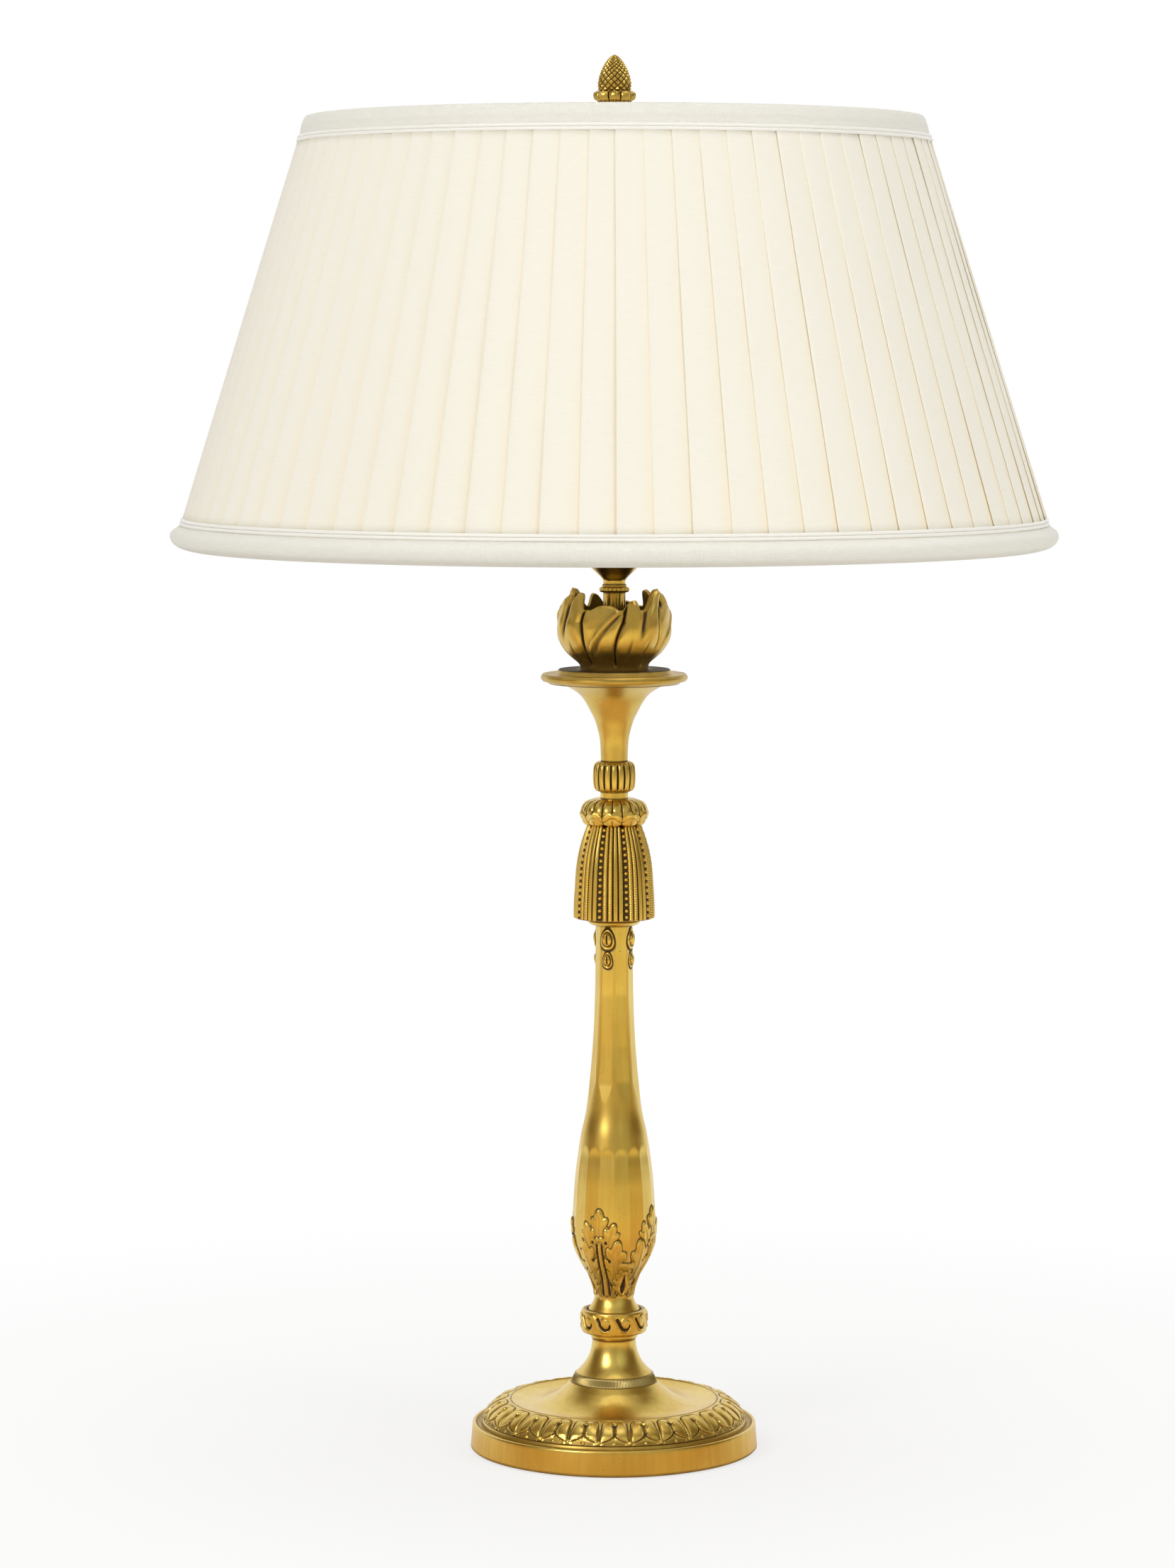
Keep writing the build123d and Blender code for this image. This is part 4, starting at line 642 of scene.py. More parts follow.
FINISHES: dict = {
    Slot.GILT: Metal("gilt brass", GILT_BRIGHT, GILT_WARM, GILT_DARK),
    Slot.KNURLED: Metal("knurled brass", (208, 190, 128), (182, 160, 98), (118, 102, 66), 0.36),
    Slot.POLISHED: Metal("polished tube", (232, 202, 112), (214, 176, 86), GILT_DARK, 0.14, 0.6),
    Slot.ZINC: Metal("zinc steel", (176, 178, 180), (150, 152, 156), (70, 68, 62), 0.38),
    Slot.IRON: Plain("grey iron", (74, 72, 70), (52, 50, 48), 0.72, 0.6, bump=0.00025, grain=500.0),
    Slot.FELT: Plain("felt", (46, 66, 50), (30, 46, 36), 0.95, bump=0.0003, sheen=0.5),
    Slot.BUSH: Plain("bush plastic", (34, 32, 30), (24, 22, 21), 0.42),
    Slot.HARP: Metal("plated harp", (222, 186, 98), (204, 156, 72), GILT_DARK, 0.2, 0.4),
    Slot.HOLDER: Metal("holder brass", (224, 190, 104), (206, 164, 78), GILT_DARK, 0.26, 0.5),
    Slot.CARD: Plain("sleeve card", (196, 172, 132), (172, 146, 108), 0.88, bump=0.0001),
    Slot.MOULDING: Plain("holder moulding", (60, 42, 32), (44, 30, 24), 0.46),
    Slot.KNOB: Plain("knob plastic", (30, 28, 27), (22, 20, 20), 0.32, coat=0.3),
    Slot.CAP: Metal("cap aluminium", (204, 206, 208), (186, 188, 190), (90, 88, 84), 0.3, 0.4),
    Slot.SOLDER: Metal("contact solder", (168, 168, 166), (140, 140, 138), (70, 68, 64), 0.4),
    Slot.GLASS: Plain("opal glass", (246, 244, 238), (240, 237, 229), 0.22, bump=0.00001,
                      subsurface=0.35, coat=0.4),
    # The cloth's fold tone and its emission are painted light; the ribbon's and braid's darker fold tones are
    # painted shade.
    Slot.CLOTH: Woven("pleated cloth", (246, 243, 231), (241, 237, 224), (251, 222, 158),
                      2.0, 2.2, 0.82, 0.00005, 0.15, painted_translucency=0.02),
    Slot.LINING: Plain("lining sheet", (244, 241, 232), (236, 232, 221), 0.55, bump=0.00002),
    Slot.RIBBON: Woven("grosgrain", (252, 251, 244), (238, 236, 224), (224, 217, 198),
                       1.15, 0.0, 0.6, 0.00025, 0.2),
    Slot.BRAID: Woven("gimp braid", (251, 250, 245), (243, 240, 232), (222, 213, 194),
                      3.2, 0.0, 0.38, 0.00003, 0.25),
    Slot.WIRE: Plain("enamelled wire", (240, 238, 230), (230, 227, 217), 0.34, coat=0.3),
}


@dataclass
class Workshop:
    """Makes each finish once and dresses the CAD nodes that stay."""

    made: dict = field(default_factory=dict)

    def finish(self, slot: Slot) -> bpy.types.Material:
        """The material of a slot."""
        if slot not in self.made:
            self.made[slot] = FINISHES[slot].make()
        return self.made[slot]

    def dress_nodes(self) -> None:
        """Gives every CAD node that still shows the finish of its own slot."""
        for row in frame["record"]["subparts"]:
            node = frame["nodes"][row["node"]]
            if node.hide_render:
                continue
            node.data.materials.clear()
            node.data.materials.append(self.finish(Slot(row["material_slot"])))

    def make(self, skin: Skin, body: str, slot: Slot, *nodes: str) -> bpy.types.Object:
        """Builds a skin in a slot's finish on a body, in the place of CAD nodes."""
        return skin.build(body, self.finish(slot), slot.value, nodes)

    def turn(self, node: str, name: str, outline: Grid, *relief: object, slot: Slot = Slot.GILT,
             **options: object) -> None:
        """Makes a gilded piece of the stem in the place of a CAD node, as `turned` does, round the rod."""
        self.make(turned(name, outline, STEM_BORE, *relief, **options), "lamp_body", slot, node)


# ---------------------------------------------------------------- relief helpers


def bump_line(distance: Grid, half_width: float, height: float) -> Grid:
    """A round-topped ridge: half a circle's rise over the distance from its middle line."""
    return height * half_round(distance / half_width)


def near_line(x: Grid, y: Grid, points: Grid, widths: Optional[Grid] = None) -> Grid:
    """Distance from each point of a grid to a polyline, as a share of the line's half-width if it has one.

    Args:
        x: the points' first coordinates.
        y: their second coordinates.
        points: the polyline's corners.
        widths: the line's half-width at each corner, or nothing for a plain distance.

    Returns:
        The distance, of the grid's own shape.
    """
    best = np.full(np.broadcast(x, y).shape, np.inf)
    sizes = np.ones(len(points)) if widths is None else np.asarray(widths, float)
    for (ax, ay), (bx, by), first, last in zip(points[:-1], points[1:], sizes[:-1], sizes[1:]):
        length = max((bx - ax) ** 2 + (by - ay) ** 2, 1e-9)
        t = np.clip(((x - ax) * (bx - ax) + (y - ay) * (by - ay)) / length, 0, 1)
        away = np.hypot(x - ax - t * (bx - ax), y - ay - t * (by - ay))
        best = np.minimum(best, away / (first + t * (last - first)))
    return best


def facet_angle(azimuth: Grid, count: int) -> Grid:
    """Angle from the middle of the nearest of `count` flats that meet in an edge at the front."""
    pitch = 2 * math.pi / count
    return np.mod(azimuth, pitch) - pitch / 2


def cell(azimuth: Grid, count: int, start: float = 0.0) -> Grid:
    """Place across the nearest of `count` units, from -0.5 to 0.5, the first centred at `start` degrees."""
    turn = (azimuth - math.radians(start)) / (2 * math.pi) * count
    return np.mod(turn + 0.5, 1.0) - 0.5


# ---------------------------------------------------------------- foot


@dataclass
class Foot:
    """The cast foot: a wall with a lip, a border of leaves and keyholes, and a dished top."""

    radius: float = 79.1
    wall_top: float = 78.0
    wall_height: float = 14.7
    groove_depth: float = 1.5
    border_outer: float = 72.7
    border_low: float = 16.5
    border_inner: float = 57.6
    border_rise: float = 10.6
    border_bulge: float = 2.3
    low: float = 0.8
    bore: float = 18.0
    top_radius: float = 23.9
    top: float = 37.0
    leaves: int = 26
    columns: int = 884
    rows: int = 84
    thickness: float = 2.6
    dish_columns: int = 288
    keyhole: tuple = ((0, 12.4), (0, 8.0), (0, 6.0))
    keyhole_widths: tuple = (0.5, 0.5, 0.7)
    fork: tuple = ((0, 6.2), (1.2, 4.6), (3.6, 3.0), (6.9, 1.8))
    fork_widths: tuple = (0.62, 0.42, 0.3, 0.22)
    eye_radius: float = 1.45

    def border_line(self) -> Grid:
        """The border's swelling outline, from its outer edge to the dish."""
        start = (self.border_outer, self.border_low)
        end = (self.border_inner, self.border_low + self.border_rise)
        return bow(start, end, self.border_bulge, self.rows)

    def leaf_relief(self, length: Grid, azimuth: Grid) -> tuple:
        """Height of the leaf border in millimetres, and its patina.

        Each unit is a leaf turned down, cut out by a groove like a squared arch. A keyhole with a round eye
        parts its two puffed halves and forks at the foot into two channels that run to the corners, round a
        small knob. A wedge stands between two units, and a knob where their corners meet.
        """
        total = length[-1]
        radius = np.linspace(self.border_outer, self.border_inner, self.rows)[:, None]
        half_pitch = math.pi * radius / self.leaves
        x = cell(azimuth, self.leaves) * half_pitch * 2
        y = length[:, None] + 0 * x
        side = np.abs(x)
        corner, top = 3.6, total - 1.5
        half = half_pitch - np.interp(y, [0, total], [0.45, 1.25])
        out = np.maximum(side - (half - corner), 0)
        up = np.maximum(y - (top - corner), 0)
        straight = np.maximum(side - half, y - top) + corner
        arch = np.where((out > 0) | (up > 0), np.hypot(out, up), straight) - corner
        outline = bell(arch / 0.36)
        slot = near_line(side, y, np.array(self.keyhole), self.keyhole_widths)
        eye = np.hypot(side, y - self.keyhole[0][1]) / self.eye_radius
        fork = near_line(side, y, np.array(self.fork), self.fork_widths)
        hole = np.minimum.reduce([slot, eye, fork])
        cut = smooth_step(1.15, 0.75, hole)
        lip = 0.32 * bell((hole - 1.45) / 0.28)
        dome = half_round((side - half / 2) / (half / 2))
        inside = smooth_step(0.1, -0.5, arch)
        puffed = dome * smooth_step(2.0, 6.0, y) * smooth_step(total, top - 3.0, y)
        leaf = inside * (0.25 + 0.60 * puffed + lip)
        wedge = smooth_step(0.1, 0.6, arch) * 0.35
        below = inside * smooth_step(3.6, 2.4, y + 0.25 * side) * (side < 6.0)
        knobs = np.maximum(bump_line(np.hypot(x, y - 1.2), 0.95, 0.75),
                           bump_line(np.hypot(half_pitch - side, y - 1.6), 1.15, 0.85))
        raised = np.maximum(leaf * (1 - 0.75 * below), wedge) - 0.75 * cut * inside - 0.65 * outline
        raised = np.maximum.reduce([raised, -0.75 + 0 * raised, knobs - 0.1])
        at_foot = smooth_step(0.6, 0.0, y) * 0.6
        patina_and_shade = np.maximum.reduce([cut * inside * 0.75, outline * 0.9, below * 0.45, at_foot])
        patina_and_shade = np.maximum(patina_and_shade, 0.12 * (1 - dome) * inside)
        return raised - 0.30, np.where(knobs > 0.2, 0.0, patina_and_shade) * smooth_step(total, total - 0.25, y)

    def build(self, workshop: Workshop) -> None:
        """Makes the border and the rest of the casting."""
        azimuth = round_angles(self.columns)
        border = self.border_line()
        length = run_length(border)
        relief, patina_and_painted_light = self.leaf_relief(length, azimuth)
        skin = Skin("leaf_border", 60.0)
        normal = outward(border)
        radius = border[:, :1] + relief * normal[:, :1]
        height = border[:, 1:] + relief * normal[:, 1:]
        under = border - self.thickness * normal
        back_radius = np.repeat(under[::-1, :1][::6], self.columns, axis=1)
        back_height = np.repeat(under[::-1, 1:][::6], self.columns, axis=1)
        rows = turned_points(np.vstack([radius, back_radius]), np.vstack([height, back_height]), azimuth)
        skin.add(rows, wrap_rows=True, patina_and_painted_light=np.vstack([patina_and_painted_light, np.zeros_like(back_radius)]))
        workshop.make(skin, "lamp_body", Slot.GILT, "foot_casting")
        self.build_casting(workshop)

    def build_casting(self, workshop: Workshop) -> None:
        """Makes the wall, its lip, the dish and the underside."""
        groove = self.wall_height - self.groove_depth
        lip, edge = self.wall_top - 1.1, 3.6
        outer, inner, foot_of_border = self.border_outer, self.border_inner, self.border_low
        wall = drawn(
            (self.radius - 5.0, self.low),
            ((self.radius - 0.5, self.low),),
            ((self.radius, self.low + 0.5),),
            ((self.wall_top + 0.1, self.wall_height - 1.1), 9),
            ((lip, self.wall_height), 6, 0.36),
            ((lip - 0.5, self.wall_height),),
            ((lip - edge, groove), 6, -0.6),
            ((outer + 0.4, groove + 0.2),),
            ((outer - 1.0, foot_of_border - 0.1), 8, 0.5),
            ((outer - 3.0, foot_of_border - 0.6),),
            ((inner + 2.0, 23.8), 3),
            ((inner + 0.6, 26.6),),
        )
        dish = through([(inner + 0.6, 26.6), (inner - 0.6, 27.4), (55.5, 26.6), (50.0, 25.3), (45.6, 24.9),
                        (40.0, 25.8), (33.0, 29.0), (27.5, 33.2), (24.6, 36.2),
                        (self.top_radius, self.top)], 64)
        hub = line((self.top_radius, self.top), (self.top_radius - 4, self.top))
        outline = resampled(joined(wall, dish, hub), 1.6)
        radius, height = outline.T
        patina_and_painted_light = np.zeros((len(outline), self.dish_columns))
        patina_and_painted_light[(radius < lip - 0.9) & (radius > outer - 0.6) & (height < 15.6)] = 0.32
        patina_and_painted_light[np.abs(radius - inner) < 1.1] = 0.35
        patina_and_painted_light[radius < self.top_radius + 0.3] = 0.3
        patina_and_painted_light[height < self.low + 0.8] = 0.5
        skin = turned("foot_dish", outline, self.bore, self.dish_columns, patina_and_painted_light=patina_and_painted_light, sharp=32.0)
        workshop.make(skin, "lamp_body", Slot.GILT, "foot_casting")


# ---------------------------------------------------------------- stem


@dataclass
class Turning:
    """A plain turned ring: a few points of its outline, swept round the stem."""

    node: str
    outline: Grid
    columns: int = 192
    patina_and_painted_light: float = 0.0
    slot: Slot = Slot.GILT
    step: float = 0.9
    end_reach: float = 0.9
    end_patina: float = 0.7

    def build(self, workshop: Workshop) -> None:
        """Makes the ring, with patina held at its two ends and an even darkening all over, which on the upper
        rings is painted shade.
        """
        outline = resampled(self.outline, self.step)
        along = run_length(outline)
        ends = np.minimum(along, along[-1] - along)
        patina_and_shade = np.clip(1 - ends / self.end_reach, 0, 1) * self.end_patina + self.patina_and_painted_light
        patina_and_painted_light = np.repeat(patina_and_shade[:, None], self.columns, axis=1)
        workshop.turn(self.node, "turned_" + self.node, outline, self.columns, patina_and_painted_light=patina_and_painted_light, slot=self.slot)


@dataclass
class KnurledRing:
    """A slanted ring of fine upright lines, narrower at its top."""

    low: float = 37.0
    height: float = 4.6
    radius: float = 23.9
    top_radius: float = 21.6
    lines: int = 170
    columns_per_line: int = 6
    depth: float = 0.22

    def build(self, workshop: Workshop) -> None:
        """Makes the ring: a raised cosine round it, faded out at its two edges."""
        top = self.low + self.height
        outline = resampled(drawn(
            (self.radius - 0.6, self.low),
            ((self.radius - 0.3, self.low + 0.3),),
            ((self.top_radius, top - 0.3), 10),
            ((self.top_radius - 0.4, top),),
            ((self.top_radius - 3.0, top),),
        ), 0.5)
        columns = self.lines * self.columns_per_line
        azimuth = round_angles(columns)
        fade = smooth_step(0, 0.8, outline[:, 1] - self.low) * smooth_step(0, 0.8, top - outline[:, 1])
        wave = np.cos(azimuth * self.lines)
        relief = fade[:, None] * (wave - 1) * self.depth / 2
        patina_and_painted_light = fade[:, None] * smooth_step(0.2, -0.9, wave) * 0.6
        workshop.turn("knurled_ring", "fine_knurling", outline,
                      columns, relief, patina_and_painted_light + 0 * relief, slot=Slot.KNURLED)


@dataclass
class WaveCollar:
    """A drum with a running-dog scroll: ten waves cut in by hooked troughs, each curling over to the left."""

    low: float = 64.6
    height: float = 12.7
    radius: float = 18.3
    waves: int = 10
    first: float = -15.5
    columns: int = 640
    trough: tuple = ((-4.6, 9.3), (-3.6, 7.7), (-3.0, 6.0), (-1.9, 4.4), (-0.2, 3.6), (1.6, 4.0), (2.5, 5.3),
                     (2.4, 6.6))
    trough_widths: tuple = (0.85, 0.75, 0.68, 0.68, 0.68, 0.66, 0.5, 0.3)
    slope: tuple = ((-7.9, 10.7), (-6.4, 9.5), (-4.9, 6.8), (-3.5, 4.3), (-1.8, 2.8), (0.2, 2.5))
    crest: tuple = ((-2.1, 6.2), (-2.2, 8.4), (-1.0, 10.1), (0.9, 10.9), (2.6, 10.9), (3.8, 10.5))

    def scroll(self, x: Grid, y: Grid) -> tuple:
        """Height of the scroll and its patina: a tapering trough, two thin ridges and a soft head."""
        trough = near_line(x, y, np.array(self.trough), self.trough_widths)
        ridge = np.minimum(*(near_line(x, y, through(list(run), 14)) for run in (self.slope, self.crest)))
        cut = smooth_step(1.2, 0.7, trough)
        head = 0.3 * half_round(np.hypot(x - 0.1, y - 7.3) / 2.4)
        return 0.5 * bell(ridge / 0.45) + head - 1.0 * cut, cut * 0.95

    def build(self, workshop: Workshop) -> None:
        """Makes the drum with the scroll cut in it, over and under plain bands."""
        top, edge = self.low + self.height, 1.2
        side = self.radius - 0.35
        outline = resampled(drawn(
            (side - edge, self.low),
            ((side, self.low + edge), 6, 0.36),
            ((side, top - edge), 40, 0.25),
            ((side - edge, top), 6, 0.36),
            ((15.4, top),),
            ((14.8, top - 1.0),),
            ((14.3, top - 1.0),),
            ((14.0, top),),
        ), 0.3)
        azimuth = round_angles(self.columns)
        pitch = 2 * math.pi * self.radius / self.waves
        x = cell(azimuth, self.waves, self.first) * pitch
        y = (outline[:, 1] - self.low)[:, None] + 0 * x
        parts = [self.scroll(x + shift, y) for shift in (-pitch, 0.0, pitch)]
        relief = np.minimum.reduce([part[0] for part in parts])
        raised = np.maximum.reduce([part[0] for part in parts])
        relief = np.where(relief < -0.05, relief, raised)
        patina_and_painted_light = np.maximum.reduce([part[1] for part in parts])
        on_side = (outline[:, 0] > side - 0.2)[:, None] & (y > 1.0) & (y < self.height - 1.0)
        relief, patina_and_painted_light = np.where(on_side, relief, 0.0), np.where(on_side, patina_and_painted_light, 0.0)
        patina_and_painted_light = np.maximum(patina_and_painted_light, ((outline[:, 0] < 15.3) & (outline[:, 1] < top - 0.3))[:, None] * 0.9)
        patina_and_painted_light = np.maximum(patina_and_painted_light, ((outline[:, 0] < 16.9) & (outline[:, 1] > top - 0.3))[:, None] * 0.35)
        workshop.turn("wave_collar", "wave_scroll", outline, self.columns, relief, patina_and_painted_light, sharp=70.0)


@dataclass
class Leaflet:
    """One lobed blade of an acanthus leaf, from its root to its tip."""

    root: tuple
    tip: tuple
    width: float
    height: float = 1.0
    blending: float = 7.0

    def lobes(self) -> list:
        """The blade's lobes: place along and across, half-length, half-width, and turn outwards."""
        return [(0.80, 0.0, 0.20, 0.42, 0.0), (0.42, 0.0, 0.44, 0.50, 0.0), (0.64, 0.44, 0.17, 0.32, 0.5),
                (0.41, 0.60, 0.17, 0.34, 0.75), (0.19, 0.50, 0.15, 0.30, 0.85)]

    def rise(self, x: Grid, y: Grid) -> tuple:
        """Height over the belly, nearness to the blade's edge, which is at 1, and place up the blade.

        The lobes run together into one blade with a steep rim, whose outline keeps a notch between two
        lobes. A vein is pressed in along the middle.
        """
        run = np.subtract(self.tip, self.root)
        length = float(np.hypot(*run))
        along = ((x - self.root[0]) * run[0] + (y - self.root[1]) * run[1]) / length
        side = (-(x - self.root[0]) * run[1] + (y - self.root[1]) * run[0]) / length
        total = np.full(np.broadcast(x, y).shape, 1e-12)
        for at, out, half_length, half_width, turn in self.lobes():
            for way in ((1, -1) if out else (1,)):
                u, v = along - at * length, side - way * out * self.width
                c, s = math.cos(way * turn), math.sin(way * turn)
                reach = np.hypot((u * c + v * s) / (half_length * length),
                                 (v * c - u * s) / (half_width * self.width))
                total = total + np.exp(-self.blending * reach)
        nearest = -np.log(total) / self.blending
        dome = np.sqrt(np.clip(1 - nearest**4, 0, 1))
        t = np.clip(along / length, 0, 1)
        vein = 0.45 * bell(side / 0.45) * smooth_step(0.95, 0.7, t)
        return self.height * np.maximum(dome * (0.72 + 0.36 * t) - vein * dome, 0), nearest, t


@dataclass
class Baluster:
    """The tall stem: a sixteen-sided belly in acanthus leaves under a soft eight-sided neck."""

    low: float = 77.3
    split: float = 150.0
    leaf_axis: float = -22.0
    belly_columns: int = 512
    neck_columns: int = 384
    husks: tuple = ((283.0, 4.0, 6.0, 2.0), (271.6, 2.9, 4.7, 1.7))
    carved_zones: tuple = ((84.0, 137.5, 0.36), (265.5, 289.5, 0.36))
    plain_step: float = 1.3

    def outline(self) -> Grid:
        """The whole outline from the foot to the tassel."""
        points = [(14.0, 0), (11.4, 4.3), (10.6, 9.6), (13.5, 18.7), (18.6, 27.8), (22.1, 37.5), (23.0, 51.0),
                  (22.1, 70.0), (18.3, 96.2), (15.0, 112.7), (11.9, 144.0), (10.5, 175.2), (10.1, 213.2)]
        return through(points, 620) + [0, self.low]

    def facets(self, outline: Grid, azimuth: Grid) -> Grid:
        """How far the flats cut in: each is a plane whose distance from the axis changes with the height.

        A distance of `clear` is beyond the stem, where there are no flats.
        """
        z = (outline[:, 1] - self.low)[:, None]
        round_radius = outline[:, :1]
        knots = [(13.6, 12.2), (18.7, 13.15), (23.0, 15.4), (27.8, 17.95), (37.5, 21.35), (51.0, 22.25),
                 (70.0, 21.25), (80.0, 20.25), (87.5, 19.25), (91.8, 19.02), (97.0, 18.8)]
        clear = 60.0
        belly = np.vstack([(0, clear), (10.0, clear), through(knots, 300), (111.5, clear), (214, clear)])
        belly_levels, belly_reach = belly.T
        stem_levels = [0, 72.7, 104.7, 126.8, 146.9, 175.2, 214]
        stem_reach = [clear, clear, 16.5, 12.75, 11.23, 9.98, 9.61]
        cut = 0 * azimuth + round_radius
        for count, levels, reach in ((16, belly_levels, belly_reach), (8, stem_levels, stem_reach)):
            plane = np.interp(z, levels, reach) / np.cos(facet_angle(azimuth, count))
            cut = np.minimum(cut, plane)
        return cut - round_radius

    def leaves(self, x: Grid, z: Grid) -> tuple:
        """Height of one acanthus leaf, and its patina with painted shade, mirrored about its vein.

        Its four tiers are laid from the tip down, each over the last.
        """
        side = np.abs(x)
        tiers = [
            (Leaflet((0.0, 114.0), (0.0, 136.3), 6.6, 1.2), 0.0),
            (Leaflet((3.0, 108.5), (9.0, 128.6), 5.6, 1.2), 1.9),
            (Leaflet((4.4, 92.5), (11.2, 119.0), 6.8, 1.25), 2.6),
            (Leaflet((5.6, 87.0), (10.6, 102.0), 3.3, 0.9), 3.4),
        ]
        height, patina_and_shade = np.zeros(np.broadcast(x, z).shape), np.zeros(np.broadcast(x, z).shape)
        for blade, foot in tiers:
            if foot:
                middle = np.interp(z, [84.0, blade.root[1] + 3.0], [foot, blade.root[0] + 0.8])
                fade = smooth_step(blade.root[1] + 7.0, blade.root[1] + 2.0, z)
                stalk = bump_line(side - middle, 0.9, 0.75) * fade
                line_near = bell((np.abs(side - middle) - 1.0) / 0.28) * (z < blade.root[1] + 3.0)
                height, patina_and_shade = np.maximum(height, stalk), np.maximum(patina_and_shade, 0.6 * line_near)
            rise, edge, up = blade.rise(side, z)
            over = smooth_step(1.03, 0.97, edge)
            height = height * (1 - over) + np.maximum(rise, 0.5 * height) * over
            # Painted shade: inside a leaflet the colour darkens towards its root.
            patina_and_shade = patina_and_shade * (1 - over) + 0.34 * (1 - up) ** 1.3 * over
            patina_and_shade = np.maximum(patina_and_shade, 0.8 * smooth_step(1.17, 1.04, edge) * smooth_step(0.93, 1.0, edge))
        stem = smooth_step(119, 115, z) * smooth_step(84, 87, z)
        vein_width = np.interp(z, [84, 100, 120], [1.3, 1.0, 0.8])
        vein = bump_line(side, vein_width, 1.05) * stem
        channel = bump_line(side - vein_width - 0.6, 0.62, 1.0) * stem
        eyelets = sum(bump_line(np.hypot(side - x_eye, (z - z_eye) / 1.4), 0.85, 1.0)
                      for x_eye, z_eye in ((3.9, 117.4), (4.8, 106.8)))
        patina_and_shade = np.where(vein > 0.2, patina_and_shade * (1 - stem), np.maximum.reduce([patina_and_shade, channel * 0.95, eyelets]))
        # Painted shade: the leaves darken towards their lower part.
        patina_and_shade = np.maximum(patina_and_shade, 0.22 * smooth_step(118, 94, z))
        height = np.where(side < vein_width, np.maximum(height * (1 - stem), vein),
                          height - 0.9 * channel - 0.8 * eyelets)
        return height, np.clip(patina_and_shade, 0, 1)

    def teardrops(self, x: Grid, z: Grid) -> tuple:
        """Depth and rim of the drop between two leaves: round below, drawn to a point above."""
        width = np.interp(z, [87.5, 89, 91, 94.5, 99.0], [0.3, 1.4, 1.75, 1.1, 0.05])
        inside = (z > 87.5) & (z < 99.0)
        hole = np.where(inside, smooth_step(1.0, 0.55, np.abs(x) / width), 0.0)
        around = np.hypot(np.maximum(np.abs(x) - width, 0), np.maximum(np.abs(z - 93.2) - 5.9, 0))
        return hole, bump_line(around - 0.65, 0.6, 0.85)

    def build_belly(self, workshop: Workshop, part: Grid) -> None:
        """Makes the lower piece, with its leaves and the drops between them."""
        azimuth = round_angles(self.belly_columns)
        radius = part[:, :1]
        z = part[:, 1:] + 0 * azimuth
        x = cell(azimuth, 4, self.leaf_axis) * math.pi / 2 * radius
        between = cell(azimuth, 4, self.leaf_axis + 45) * math.pi / 2 * radius
        hole, rim = self.teardrops(between, z)
        leaf, patina_and_shade = self.leaves(x, z)
        leafy = smooth_step(83.5, 86.0, z) * smooth_step(139, 137.5, z)
        raised = np.maximum(leaf, rim * (1 - hole)) * leafy
        relief = self.facets(part, azimuth) + raised - 1.0 * hole
        patina_and_painted_light = np.maximum(np.where(rim > 0.3, 0.0, patina_and_shade), hole * 0.95) * leafy
        relief[-1] = self.facets(part, azimuth)[-1]
        workshop.turn("baluster", "carved_belly", part, self.belly_columns, relief, patina_and_painted_light, sharp=80.0)

    def build_neck(self, workshop: Workshop, part: Grid) -> None:
        """Makes the upper piece, with its two husks hung on each of four sides."""
        azimuth = round_angles(self.neck_columns)
        z = part[:, 1:] + 0 * azimuth
        x = cell(azimuth, 4, self.leaf_axis) * math.pi / 2 * part[:, :1]
        raised, edge = 0 * z, 0 * z
        for middle, half_width, half_length, height in self.husks:
            t = (z - middle) / half_length
            reach = np.hypot(x / half_width / (1 - 0.22 * np.clip(t, -1, 1)), t)
            sepal = np.sqrt(np.clip(1 - reach**3, 0, 1))
            inner = np.clip(1 - (reach / 0.62) ** 2, 0, 1)
            ring = 0.35 * bell((reach - 0.66) / 0.09)
            slit = 0.7 * bell(x / 0.36) * smooth_step(0.62, 0.35, np.abs(t))
            husk = sepal * (0.62 + 0.45 * np.sqrt(inner)) - ring - slit * (reach < 0.62)
            raised = np.maximum(raised, height * np.maximum(husk, 0))
            edge = np.maximum(edge, smooth_step(1.28, 1.08, reach) * smooth_step(0.95, 1.02, reach))
        relief = self.facets(part, azimuth) + raised - 0.2 * edge
        patina_and_painted_light = np.maximum(hollowness(raised, 2, 0.55), edge * 0.95)
        patina_and_painted_light = np.maximum(patina_and_painted_light, smooth_step(289.0, 290.3, z) * 0.5)
        patina_and_painted_light[:12] = 0
        workshop.turn("baluster", "husked_neck", part, self.neck_columns, relief, patina_and_painted_light, sharp=20.0)

    def build(self, workshop: Workshop) -> None:
        """Makes both pieces, which meet on the same ring of flats."""
        whole = spaced(self.outline(), list(self.carved_zones), self.plain_step)
        row = int(np.argmin(np.abs(whole[:, 1] - self.split)))
        self.build_belly(workshop, whole[: row + 1])
        self.build_neck(workshop, whole[row:])


